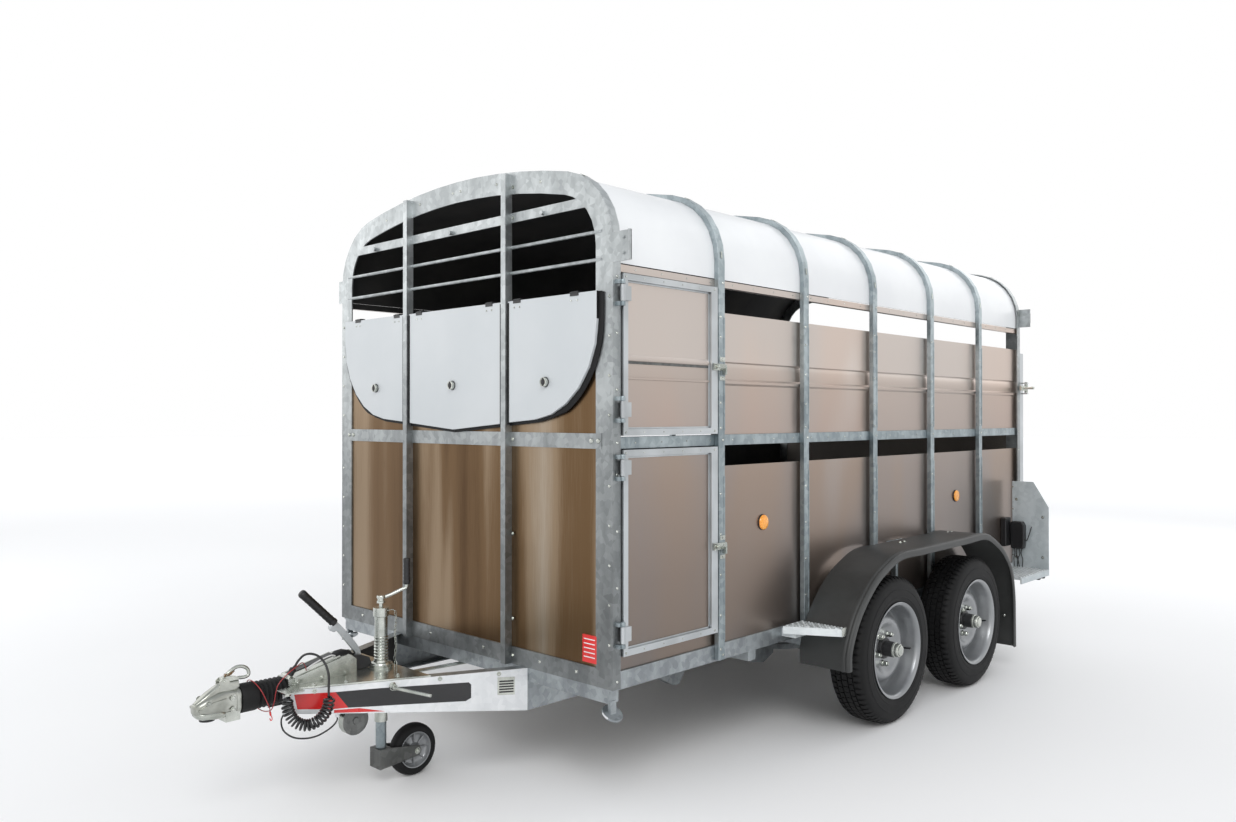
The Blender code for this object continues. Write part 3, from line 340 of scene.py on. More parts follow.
# Painted shade and reflection: the lower side sheets are a darker, browner copy of the same aluminium, and
# their height steps darken them towards the bottom.
SHEET_SIDE_PAINTED_SHADE = sheet_material(
    "aluminium_side_painted_shade",
    [(0.3, (0.285, 0.255, 0.235)), (0.5, (0.33, 0.285, 0.26)), (0.62, (0.36, 0.285, 0.235)),
     (0.8, (0.4, 0.36, 0.335))],
    streak=(2.6, 1.4, 0.5),
    rough=(0.26, 0.4),
    steps=((0.45, (0.62, 0.64, 0.66)), (0.8, (0.72, 0.72, 0.73)), (1.15, (0.9, 0.88, 0.87)),
        (1.3, (1.0, 1.0, 1.0))),
)
# Painted light and shade: the upper sheets are a lighter copy of the same aluminium, darker below 1.3 m and
# brightest from 1.62 m up.
SHEET_TOP_PAINTED_LIGHT = sheet_material(
    "aluminium_upper_painted_light",
    [(0.3, (0.53, 0.48, 0.45)), (0.5, (0.56, 0.5, 0.46)), (0.64, (0.6, 0.5, 0.44)),
     (0.8, (0.66, 0.61, 0.57))],
    streak=(2.6, 1.4, 0.5),
    rough=(0.26, 0.4),
    steps=((1.3, (0.72, 0.68, 0.67)), (1.52, (0.8, 0.76, 0.74)), (1.6, (0.86, 0.83, 0.81)),
        (1.62, (1.0, 1.0, 1.0))),
)
EXTRUSION = sheet_material(
    "aluminium_section",
    [(0.25, (0.42, 0.44, 0.45)), (0.6, (0.54, 0.565, 0.58)), (0.85, (0.66, 0.685, 0.7))],
    streak=(6.0, 6.0, 6.0),
    rough=(0.26, 0.42),
)
ROOF = white_sheet_material("roof_gelcoat", (0.7, 0.715, 0.73), (0.765, 0.78, 0.79), (0.34, 0.46))
# Painted shade: near-black for the inner faces of the body and for faces that stand in shadow, such as the
# far drawbar arm's inner face.
PAINTED_SHADE = coated_material("painted_shade_dark", (0.012, 0.012, 0.012), (0.03, 0.028, 0.026), (0.75, 0.9), 90.0, 0.1)
FLAP = white_sheet_material("flap_board", (0.5, 0.53, 0.548), (0.545, 0.57, 0.585), (0.36, 0.46))
BLACK_RUBBER = rubber_material("seal_rubber", (0.003, 0.003, 0.0035), (0.009, 0.009, 0.0095))
TYRE = rubber_material("tyre_rubber", (0.0012, 0.0012, 0.0014), (0.004, 0.0041, 0.0047), 0.03)
GUARD = coated_material("guard_plastic", (0.03, 0.0315, 0.031), (0.052, 0.054, 0.053), (0.42, 0.56), 320.0,
        0.15)
BLACK_PLASTIC = coated_material("black_plastic", (0.01, 0.01, 0.011), (0.022, 0.022, 0.024), (0.32, 0.45),
        260.0, 0.08)
GRIP = coated_material("grip_plastic", (0.006, 0.006, 0.007), (0.016, 0.016, 0.017), (0.38, 0.5), 300.0,
        0.12)
CABLE = coated_material("cable_sheath", (0.008, 0.008, 0.009), (0.02, 0.02, 0.022), (0.28, 0.42), 500.0,
        0.05, 0.2)
RED_CABLE = coated_material("red_cable", (0.26, 0.012, 0.016), (0.42, 0.03, 0.03), (0.3, 0.45), 500.0, 0.08,
        0.2)
RED_VINYL = coated_material("red_vinyl", (0.52, 0.012, 0.012), (0.68, 0.03, 0.028), (0.22, 0.32), 90.0,
        0.02, 0.3)
BLACK_VINYL = coated_material("black_vinyl", (0.006, 0.006, 0.007), (0.014, 0.014, 0.016), (0.2, 0.3), 90.0,
        0.02, 0.3)
WHITE_PRINT = coated_material("white_print", (0.62, 0.62, 0.62), (0.78, 0.78, 0.78), (0.3, 0.4), 90.0, 0.02)
ZINC = plated_material("bright_zinc", (0.3, 0.33, 0.32), (0.66, 0.69, 0.66))
CAST = plated_material("cast_zinc", (0.24, 0.26, 0.25), (0.6, 0.62, 0.59), (0.22, 0.4))
RIM = coated_material("rim_paint", (0.26, 0.27, 0.28), (0.38, 0.39, 0.4), (0.24, 0.36), 200.0, 0.04, 0.2,
        0.6)
TREAD_PLATE = tread_plate_material("tread_plate")
DECK = wood_material("deck_board")
AMBER = lens_material("amber_lens", (0.8, 0.26, 0.012), (1.0, 0.44, 0.04))
RED_LENS = lens_material("red_lens", (0.35, 0.01, 0.008), (0.62, 0.03, 0.02))
CLEAR_LENS = lens_material("clear_lens", (0.55, 0.56, 0.57), (0.8, 0.81, 0.82))


# Mesh building


def empty_mesh():
    return bmesh.new()


def add_loft(bm, rings, closed=False, caps=True):
    made = [[bm.verts.new(p) for p in ring] for ring in rings]
    pairs = list(zip(made, made[1:]))
    if closed:
        pairs.append((made[-1], made[0]))
    for first, second in pairs:
        for i in range(len(first)):
            j = (i + 1) % len(first)
            bm.faces.new((first[i], first[j], second[j], second[i]))
    if caps and not closed:
        bm.faces.new(made[0][::-1])
        bm.faces.new(made[-1])


def add_box(bm, low, high):
    x0, y0, z0 = low
    x1, y1, z1 = high
    ring = [(x0, y0), (x1, y0), (x1, y1), (x0, y1)]
    add_loft(bm, [[(x, y, z0) for x, y in ring], [(x, y, z1) for x, y in ring]])


def add_prism(bm, outline, axis, low, high):
    place = {
        "x": lambda p, t: (t, p[0], p[1]),
        "y": lambda p, t: (p[0], t, p[1]),
        "z": lambda p, t: (p[0], p[1], t),
    }[axis]
    add_loft(bm, [[place(p, low) for p in outline], [place(p, high) for p in outline]])


def basis(direction):
    axis = Vector(direction).normalized()
    helper = Vector((0, 0, 1)) if abs(axis.z) < 0.9 else Vector((1, 0, 0))
    across = axis.cross(helper).normalized()
    return axis, across, axis.cross(across).normalized()


def add_lathe(bm, profile, centre, direction, steps=24, closed=False):
    """Rings of (radius, distance along the direction), capped at both ends or closed on itself."""
    axis, across, upward = basis(direction)
    middle = Vector(centre)
    rings = []
    for radius, along in profile:
        ring = []
        for i in range(steps):
            angle = 2 * math.pi * i / steps
            spoke = math.cos(angle) * across + math.sin(angle) * upward
            ring.append(middle + along * axis + radius * spoke)
        rings.append(ring)
    add_loft(bm, rings, closed)


def add_rod(bm, start, end, radius, sides=12, chamfer=0.0, end_radius=None):
    length = (Vector(end) - Vector(start)).length
    last = radius if end_radius is None else end_radius
    if chamfer:
        profile = [(radius - chamfer, 0), (radius, chamfer), (last, length - chamfer),
                (last - chamfer, length)]
    else:
        profile = [(radius, 0), (last, length)]
    add_lathe(bm, profile, start, Vector(end) - Vector(start), sides)


def add_dome(bm, centre, direction, radius, height, sides=10):
    """A rivet or cup-head bolt."""
    profile = [(radius, -0.0004), (radius, 0.2 * height), (0.8 * radius, 0.7 * height),
            (0.35 * radius, height)]
    add_lathe(bm, profile, centre, direction, sides)


def add_hex_bolt(bm, centre, direction, radius, height=None, washer=1.45):
    height = 0.7 * radius if height is None else height
    add_lathe(bm, [(washer * radius, -0.0004), (washer * radius, 0.0016)], centre, direction, 14)
    head = [(radius, 0.0012), (radius, 0.8 * height + 0.0012), (0.82 * radius, height + 0.0012)]
    add_lathe(bm, head, centre, direction, 6)
    stub = [(0.5 * radius, height), (0.5 * radius, height + 0.35 * radius),
            (0.36 * radius, height + 0.5 * radius)]
    add_lathe(bm, stub, centre, direction, 8)


def smooth_route(points, spacing):
    """Evenly spaced points on a smooth curve through the route's own points."""
    points = [Vector(p) for p in points]
    padded = [2 * points[0] - points[1]] + points + [2 * points[-1] - points[-2]]
    fine = []
    for before, start, end, after in zip(padded, padded[1:], padded[2:], padded[3:]):
        for i in range(24):
            t = i / 24
            fine.append(
                0.5
                * (
                    2 * start
                    + (end - before) * t
                    + (2 * before - 5 * start + 4 * end - after) * t**2
                    + (3 * start - before - 3 * end + after) * t**3
                )
            )
    fine.append(points[-1])
    lengths = [0.0]
    for a, b in zip(fine, fine[1:]):
        lengths.append(lengths[-1] + (b - a).length)
    count = max(2, round(lengths[-1] / spacing))
    even = []
    index = 0
    for step in range(count + 1):
        wanted = lengths[-1] * step / count
        while index < len(fine) - 2 and lengths[index + 1] < wanted:
            index += 1
        share = (wanted - lengths[index]) / (lengths[index + 1] - lengths[index])
        even.append(fine[index].lerp(fine[index + 1], min(1.0, share)))
    return even


def route_length(points):
    return sum((b - a).length for a, b in zip(points, points[1:]))


def add_tube(bm, points, radius, sides=10, closed=False):
    """A tube along points, its rings carried along without twist."""
    points = [Vector(p) for p in points]
    radii = radius if isinstance(radius, (list, tuple)) else [radius] * len(points)
    count = len(points)
    across = None
    rings = []
    for i, point in enumerate(points):
        before = points[(i - 1) % count] if closed else points[max(0, i - 1)]
        after = points[(i + 1) % count] if closed else points[min(count - 1, i + 1)]
        axis = (after - before).normalized()
        across = basis(axis)[1] if across is None else (across - across.dot(axis) * axis).normalized()
        upward = axis.cross(across)
        rings.append(
            [
                point + radii[i] * (math.cos(a) * across + math.sin(a) * upward)
                for a in (2 * math.pi * k / sides for k in range(sides))
            ]
        )
    add_loft(bm, rings, closed)


def mirror_mesh(bm):
    """Adds the far side's copy of a near-side mesh."""
    copy = bmesh.ops.duplicate(bm, geom=bm.verts[:] + bm.edges[:] + bm.faces[:])["geom"]
    verts = [g for g in copy if isinstance(g, bmesh.types.BMVert)]
    faces = [g for g in copy if isinstance(g, bmesh.types.BMFace)]
    bmesh.ops.scale(bm, vec=(-1, 1, 1), verts=verts)
    bmesh.ops.reverse_faces(bm, faces=faces)
    return bm


def flip_to(bm, side):
    if side < 0:
        bmesh.ops.scale(bm, vec=(-1, 1, 1), verts=bm.verts)
    return bm


def piece(name, bm, material, body="root", slot=None, replaces=(), bevel=0.0, sharp=34.0):
    """One visual piece, riding on a body and standing for any CAD nodes named."""
    bmesh.ops.recalc_face_normals(bm, faces=bm.faces)
    mesh = bpy.data.meshes.new(name)
    bm.to_mesh(mesh)
    bm.free()
    mesh.materials.append(material)
    mesh.shade_smooth()
    mesh.set_sharp_from_angle(angle=math.radians(sharp))
    obj = bpy.data.objects.new(name, mesh)
    scene.collection.objects.link(obj)
    if bevel:
        soften(obj, bevel)
    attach(obj, body)
    if replaces:
        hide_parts(*replaces)
    return obj


def soften(obj, width, segments=2):
    modifier = obj.modifiers.new("Bevel", "BEVEL")
    modifier.width = width
    modifier.segments = segments
    modifier.limit_method = "ANGLE"
    modifier.angle_limit = math.radians(40)
    modifier.use_clamp_overlap = True
    modifier.harden_normals = True


def dress(node, material, width=0.0012):
    """A CAD node keeps its shape and gets its finish and softly rounded edges."""
    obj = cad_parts[node]
    obj.data.materials.clear()
    obj.data.materials.append(material)
    for name in ("custom_normal", "sharp_edge", "sharp_face"):
        if name in obj.data.attributes:
            obj.data.attributes.remove(obj.data.attributes[name])
    obj.data.shade_smooth()
    weld = obj.modifiers.new("Weld", "WELD")
    weld.merge_threshold = 0.00002
    flatten = obj.modifiers.new("Flat", "DECIMATE")
    flatten.decimate_type = "DISSOLVE"
    flatten.angle_limit = math.radians(0.4)
    if width:
        soften(obj, width)
        obj.modifiers["Bevel"].use_clamp_overlap = False
    else:
        split = obj.modifiers.new("Edges", "EDGE_SPLIT")
        split.split_angle = math.radians(28)
    return obj


def paint_faces(node, material, test):
    """A second finish on the faces that pass the test of (centre, normal)."""
    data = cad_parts[node].data
    data.materials.append(material)
    index = len(data.materials) - 1
    for face in data.polygons:
        if test(face.center, face.normal):
            face.material_index = index


# Camera, floor and light


def build_stage():
    camera_data = bpy.data.cameras.new("camera")
    camera_data.lens = 28.1
    camera_data.sensor_width = 36.0
    camera = bpy.data.objects.new("camera", camera_data)
    camera.location = (3.2588, -3.7637, 1.4075)
    camera.rotation_euler = (math.radians(90.294), 0.0, math.radians(43.74))
    scene.collection.objects.link(camera)
    scene.camera = camera

    bm = empty_mesh()
    size = 60.0
    bm.faces.new([bm.verts.new(p) for p in ((-size, -size, 0), (size, -size, 0), (size, size, 0),
            (-size, size, 0))])
    mesh = bpy.data.meshes.new("floor")
    bm.to_mesh(mesh)
    bm.free()
    s = Shader("floor_paper", roughness=0.75)
    s.colour(s.ramp(s.noise(0.4, detail=2.0), [(0.3, (0.955, 0.955, 0.955)), (0.8, (0.975, 0.975, 0.975))]))
    # The far floor glows a little, so that it meets the backdrop without a hard edge.
    away = s.tree.nodes.new("ShaderNodeVectorMath")
    away.operation = "LENGTH"
    s.link(s.place(), away.inputs[0])
    glow = s.tree.nodes.new("ShaderNodeMapRange")
    for name, value in (("From Min", 3.5), ("From Max", 16.0), ("To Min", 0.0), ("To Max", 0.3)):
        glow.inputs[name].default_value = value
    s.link(away.outputs["Value"], glow.inputs["Value"])
    s.out.inputs["Emission Color"].default_value = (1.0, 1.0, 1.0, 1.0)
    s.link(glow.outputs["Result"], s.out.inputs["Emission Strength"])
    mesh.materials.append(s.material)
    floor = bpy.data.objects.new("floor", mesh)
    floor.location.z = CAD_BOX[0][2] - 0.0005
    scene.collection.objects.link(floor)

    world = bpy.data.worlds.new("studio")
    world.use_nodes = True
    tree = world.node_tree
    background = tree.nodes["Background"]
    coords = tree.nodes.new("ShaderNodeTexCoord")
    split = tree.nodes.new("ShaderNodeSeparateXYZ")
    tree.links.new(coords.outputs["Generated"], split.inputs["Vector"])
    ramp = tree.nodes.new("ShaderNodeValToRGB")
    ramp.color_ramp.elements[0].position = 0.4
    ramp.color_ramp.elements[0].color = (1.0, 1.0, 1.0, 1.0)
    ramp.color_ramp.elements[1].position = 0.75
    ramp.color_ramp.elements[1].color = (0.64, 0.66, 0.69, 1.0)
    tree.links.new(split.outputs["Z"], ramp.inputs["Fac"])
    tree.links.new(ramp.outputs["Color"], background.inputs["Color"])
    background.inputs["Strength"].default_value = 1.0
    scene.world = world

    for name, place, target, size, power in (
        ("key", (5.5, -6.0, 6.5), (0, 0, 1.0), 4.0, 260.0),
        ("fill", (-6.5, -4.5, 4.0), (0, -0.5, 1.0), 5.0, 80.0),
        ("back", (1.0, 8.0, 5.5), (0, 0.5, 1.2), 6.0, 120.0),
    ):
        data = bpy.data.lights.new(name, "AREA")
        data.size = size
        data.energy = power
        light = bpy.data.objects.new(name, data)
        light.location = place
        light.rotation_euler = (Vector(target) - Vector(place)).to_track_quat("-Z", "Y").to_euler()
        scene.collection.objects.link(light)


# Cords


def local(points):
    """Points given as (x, y from the body front, z)."""
    return [(x, FRONT + y, z) for x, y, z in points]


def cord_curve(name, points, radius, material, nodes):
    curve = bpy.data.curves.new(name, "CURVE")
    curve.dimensions = "3D"
    curve.bevel_depth = radius
    curve.bevel_resolution = 3
    curve.use_fill_caps = True
    spline = curve.splines.new("POLY")
    spline.points.add(len(points) - 1)
    for slot_point, place in zip(spline.points, points):
        slot_point.co = (*place, 1.0)
    curve.materials.append(material)
    obj = bpy.data.objects.new(name, curve)
    scene.collection.objects.link(obj)
    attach(obj, "root")
    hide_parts(*nodes)
    return obj


def helix_round(centreline, turn_radius, pitch, ease):
    """Turns round a centreline, opening from it and closing to it over the ease length."""
    total = route_length(centreline)
    fine = smooth_route(centreline, pitch / 22)
    across = None
    travelled = 0.0
    turned = []
    for i, point in enumerate(fine):
        axis = (fine[min(i + 1, len(fine) - 1)] - fine[max(i - 1, 0)]).normalized()
        across = basis(axis)[1] if across is None else (across - across.dot(axis) * axis).normalized()
        if i:
            travelled += (point - fine[i - 1]).length
        edge = min(travelled, total - travelled) / ease
        share = min(1.0, max(0.0, edge))
        share = share * share * (3 - 2 * share)
        angle = 2 * math.pi * travelled / pitch
        offset = math.cos(angle) * across + math.sin(angle) * axis.cross(across)
        turned.append(point + turn_radius * share * offset)
    return turned


def build_cords():
    plug_top = Vector((0.0443, FRONT - 0.74, 0.5163))
    plug_low = Vector((0.0308, FRONT - 0.7525, 0.4862))
    axis = (plug_low - plug_top).normalized()
    bm = empty_mesh()
    profile = [(0.0045, 0.0), (0.0058, 0.003), (0.005, 0.005), (0.0064, 0.007), (0.0056, 0.009),
            (0.0088, 0.012)]
    profile += [(0.012, 0.014), (0.0125, 0.017), (0.0125, 0.024), (0.0117, 0.025), (0.0117, 0.03),
            (0.0125, 0.031)]
    profile += [(0.0125, 0.0347), (0.0118, 0.0352)]
    add_lathe(bm, profile, plug_top, axis, 24)
    plug = piece("lead_plug_body", bm, BLACK_PLASTIC, slot="lead", replaces=["lead_plug"])

    curl = local([
        (0.115, -0.807, 0.4362), (0.115, -0.807, 0.418), (0.115, -0.807, 0.402), (0.121, -0.797, 0.366),
        (0.134, -0.777, 0.34), (0.15, -0.747, 0.33), (0.168, -0.716, 0.344), (0.181, -0.696, 0.374),
        (0.185, -0.688, 0.402), (0.185, -0.688, 0.416), (0.185, -0.688, 0.428),
    ])
    tail = local([
        (0.185, -0.688, 0.4285), (0.185, -0.688, 0.445), (0.184, -0.687, 0.466), (0.177, -0.684, 0.498),
        (0.158, -0.685, 0.53), (0.13, -0.693, 0.554), (0.098, -0.706, 0.562), (0.07, -0.72, 0.555),
        (0.052, -0.732, 0.5345), (0.0444, -0.7398, 0.5168),
    ])
    coil = helix_round(smooth_route(curl, 0.004), 0.0172, 0.0122, 0.016)
    whole = coil + smooth_route(tail, 0.006)[1:]
    lead = cord_curve("curly_lead", whole, 0.0042, CABLE, ["lead_curl", "lead_tail"])

    hook_top = Vector((0.074, FRONT - 0.849, 0.3832))
    bm = empty_mesh()
    add_rod(bm, hook_top, hook_top + Vector((0.001, 0.002, -0.014)), 0.0034, 12, 0.0006)
    hook_line = [hook_top + Vector(p) for p in (
        (0.001, 0.002, -0.012), (0.0035, 0.004, -0.017), (0.005, 0.005, -0.022), (0.004, 0.005, -0.028),
        (0.001, 0.0035, -0.0315), (-0.002, 0.002, -0.029), (-0.003, 0.001, -0.024))]
    add_tube(bm, smooth_route(hook_line, 0.0015), 0.0016, 8)
    hook = piece("breakaway_snap_hook", bm, RED_VINYL, slot="red_lead", replaces=["breakaway_hook"])
    red = smooth_route(local([
        (0.03, -0.69, 0.4895), (0.03, -0.693, 0.502), (0.044, -0.712, 0.522), (0.064, -0.745, 0.518),
        (0.076, -0.788, 0.5), (0.082, -0.822, 0.474), (0.082, -0.832, 0.446),
        (0.076, -0.834, 0.416), (0.06, -0.836, 0.386), (0.034, -0.84, 0.374), (0.0, -0.846, 0.3725),
        (-0.034, -0.852, 0.384), (-0.056, -0.86, 0.41), (-0.06, -0.868, 0.438),
        (-0.047, -0.876, 0.462), (-0.021, -0.882, 0.481), (0.01, -0.882, 0.4835), (0.037, -0.876, 0.471),
        (0.056, -0.868, 0.45), (0.067, -0.858, 0.42), (0.073, -0.85, 0.396), (0.074, -0.849, 0.384),
    ]), 0.006)
    cable = cord_curve("red_breakaway_cable", red, 0.00175, RED_CABLE, ["breakaway_cable"])

    black = smooth_route(local([
        (0.125, -0.62, 0.3245), (0.125, -0.62, 0.314), (0.128, -0.634, 0.301), (0.134, -0.662, 0.29),
        (0.138, -0.705, 0.28), (0.136, -0.75, 0.281), (0.124, -0.79, 0.292), (0.1, -0.812, 0.314),
        (0.07, -0.806, 0.338), (0.044, -0.784, 0.352), (0.024, -0.757, 0.36), (0.015, -0.73, 0.366),
        (0.009, -0.71, 0.372), (0.008, -0.706, 0.379), (0.008, -0.706, 0.3875),
    ]), 0.008)
    brake = cord_curve("black_brake_cable", black, 0.003, CABLE, ["brake_cable"])


# Body


def hoop_places():
    return [FRONT + BAY * n for n in range(1, 6)]


def arch_point(share):
    """(x, z, outward normal) on the outer outline for share 0 at the near foot to 1 at the crown."""
    radius = 0.305
    centre_x = 0.915 - radius
    rise = 2.39 - 2.02
    crown_radius = (centre_x**2 + rise**2 - radius**2) / (2 * (rise - radius))
    spread = math.asin(centre_x / (crown_radius - radius))
    straight = 2.02 - 0.443
    corner = radius * (math.pi / 2 - spread)
    total = straight + corner + crown_radius * spread
    travelled = share * total
    if travelled < straight:
        return 0.915, 0.443 + travelled, (1.0, 0.0)
    travelled -= straight
    if travelled < corner:
        angle = travelled / radius
        normal = (math.cos(angle), math.sin(angle))
        return centre_x + radius * normal[0], 2.02 + radius * normal[1], normal
    angle = math.pi / 2 - spread + (travelled - corner) / crown_radius
    normal = (math.cos(angle), math.sin(angle))
    return crown_radius * normal[0], 2.39 - crown_radius + crown_radius * normal[1], normal


def dress_frames():
    for node in ("front_frame", "rear_frame"):
        dress(node, GALVANISED, 0.0)
    for node in ("chassis_frame", "spring_pack_near", "spring_pack_far", "axle_front", "axle_rear"):
        dress(node, CHASSIS, 0.0012)
    for n in range(1, 6):
        dress(f"hoop_{n}", HOOP, 0.0015)
    paint_faces("chassis_frame", DRAWBAR, lambda c, n: c.y < FRONT - 0.01)
    paint_faces("chassis_frame", STEP, lambda c, n: abs(c.x) > 0.916)
    paint_faces("chassis_frame", BOARD, lambda c, n: abs(c.x) > 0.916 and c.y > FRONT + 3.499)
    # Painted shade on the far drawbar arm's inner face.
    paint_faces("chassis_frame", PAINTED_SHADE, lambda c, n: c.y < FRONT - 0.01 and c.x < 0 and n.x > 0.8)
    for side, _ in SIDES:
        dress(f"waist_rail_{side}", HOOP, 0.0012)
        # The rails and wall sheets take the aluminium finishes with painted light and shade.
        dress(f"cant_rail_{side}", SHEET_TOP_PAINTED_LIGHT, 0.001)
        dress(f"lower_panel_{side}", SHEET_SIDE_PAINTED_SHADE, 0.0)
        dress(f"upper_panel_{side}", SHEET_TOP_PAINTED_LIGHT, 0.0)
        # Painted shade on the sheets' inner faces.
        inner = -1 if side == "near" else 1
        for node in (f"lower_panel_{side}", f"upper_panel_{side}", f"cant_rail_{side}"):
            paint_faces(node, PAINTED_SHADE, lambda c, n, inner=inner: n.x * inner > 0.5)
    dress("floor_deck", DECK, 0.0)
    dress("front_panel", SHEET_FRONT_PAINTED_REFLECTION, 0.0)
    # Painted shade on the front sheet's inner face.
    paint_faces("front_panel", PAINTED_SHADE, lambda c, n: n.y > 0.5)
    dress("roof_sheet", ROOF, 0.0)
    # Painted shade on the roof's underside.
    paint_faces("roof_sheet", PAINTED_SHADE, lambda c, n: n.x * c.x + n.z * (c.z - 1.9) < -0.05)
    for node in ("door_upper", "door_lower"):
        dress(node, EXTRUSION, 0.0008)
        # The door panels take the wall sheets' painted light and shade.
        sheet = SHEET_TOP_PAINTED_LIGHT if node == "door_upper" else SHEET_SIDE_PAINTED_SHADE
        paint_faces(node, sheet, lambda c, n: n.x > 0.9 and c.x < 0.903)
        # Painted shade on the door's inner face.
        paint_faces(node, PAINTED_SHADE, lambda c, n: n.x < -0.5)
    for node in ("latch_upper", "latch_lower", "ramp_lock_near", "ramp_lock_far", "clamp_handle"):
        dress(node, ZINC, 0.001)
    dress("ramp", EXTRUSION, 0.0012)
    # The ramp's outer face takes the lower sheets' painted shade.
    paint_faces("ramp", SHEET_SIDE_PAINTED_SHADE, lambda c, n: n.y > 0.9 and c.y < REAR + 0.02)
    paint_faces("ramp", DECK, lambda c, n: n.y < -0.9)
    dress("hitch_housing", ZINC, 0.0012)
    dress("jockey_mast", ZINC, 0.0006)
    dress("jockey_stem", HOOP, 0.0006)
    dress("jockey_fork", DULL_STEEL, 0.0012)
    for name in ("near", "middle", "far"):
        node = f"vent_flap_{name}"
        dress(node, FLAP, 0.001)
        paint_faces(node, BLACK_RUBBER, lambda c, n: c.y > FRONT - 0.0085)
        paint_faces(node, ZINC, lambda c, n: c.y < FLAP_FACE - 0.0005)


def build_frame_bolts():
    """Fixings over the front wall, hoops, rails and sills."""
    bm = empty_mesh()
    out = (0, -1, 0)
    for side in (1, -1):
        for x in (0.8, 0.835):
            add_dome(bm, (side * x, FRONT - 0.0015, 1.318), out, 0.0095, 0.006, 14)
        for height in (0.6, 0.74, 0.88, 1.02, 1.16, 1.41, 1.55, 1.69, 1.83):
            add_dome(bm, (side * 0.888, FRONT, height), out, 0.006, 0.0035)
        for height in (0.476, 0.62, 0.95, 1.317, 2.18, 2.3):
            add_hex_bolt(bm, (side * (STAY_X + 0.026), FRONT, height), out, 0.0055)
        for x in (0.18, 0.52, 0.72):
            add_dome(bm, (side * x, FRONT, 0.478), out, 0.007, 0.004)
        for share in (0.8, 0.9, 0.99):
            x, z, normal = arch_point(share)
            add_dome(bm, (side * (x - 0.052 * normal[0]), FRONT, z - 0.052 * normal[1]), out, 0.006, 0.003)
    piece("front_fixings", bm, ZINC, slot="zinc")

    bm = empty_mesh()
    for y in hoop_places():
        for height in (0.462, 0.486, 0.62, 0.78, 0.94, 1.1, 1.312, 1.36, 1.46, 1.59, 1.72, 1.8, 1.935):
            add_dome(bm, (0.915, y + (0.008 if height in (0.462, 1.312, 1.935) else -0.008), height),
                    (1, 0, 0),
                    0.0055, 0.003)
    for height in (0.47, 0.6, 0.8, 1.0, 1.2, 1.312, 1.5, 1.7, 1.9):
        for y in (FRONT + 0.022, REAR - 0.022):
            add_dome(bm, (0.905, y, height), (1, 0, 0), 0.0055, 0.003)
    for i in range(24):
        y = FRONT + 0.13 + i * 0.145
        if min(abs(y - h) for h in hoop_places()) > 0.035:
            add_dome(bm, (0.8927, y, 1.935), (1, 0, 0), 0.0035, 0.002, 8)
            add_dome(bm, (0.8927, y, 1.311), (1, 0, 0), 0.0035, 0.002, 8)
    piece("side_fixings", mirror_mesh(bm), ZINC, slot="zinc")

    bm = empty_mesh()
    for y in (FRONT, REAR, *hoop_places()):
        for share in (0.6, 0.72, 0.84, 0.96):
            x, z, normal = arch_point(share)
            inset = 0.01 if y in (FRONT, REAR) else 0.0
            offset = 0.02 if y == FRONT else (-0.02 if y == REAR else 0.0)
            point = Vector((x - inset * normal[0], y + offset, z - inset * normal[1]))
            along = Vector((-normal[1], 0, normal[0]))
            outward = Vector((normal[0], 0, normal[1]))
            ring = [point + 0.014 * along + outward * 0.0002, point - 0.014 * along + outward * 0.0002]
            width = Vector((0, 0.0035, 0))
            low = [ring[0] - width, ring[0] + width, ring[1] + width, ring[1] - width]
            add_loft(bm, [low, [p + 0.0012 * outward for p in low]])
    piece("hoop_slot_caps", mirror_mesh(bm), ZINC, slot="zinc")

    bm = empty_mesh()
    for y in hoop_places():
        for low, high in ((0.52, 1.17), (1.35, 1.8)):
            for dy in (-0.0165, 0.0165):
                add_box(bm, (0.9148, y + dy - 0.0035, low), (0.9168, y + dy + 0.0035, high))
    piece("hoop_edge_returns", mirror_mesh(bm), HOOP, slot="galvanised", bevel=0.0009)


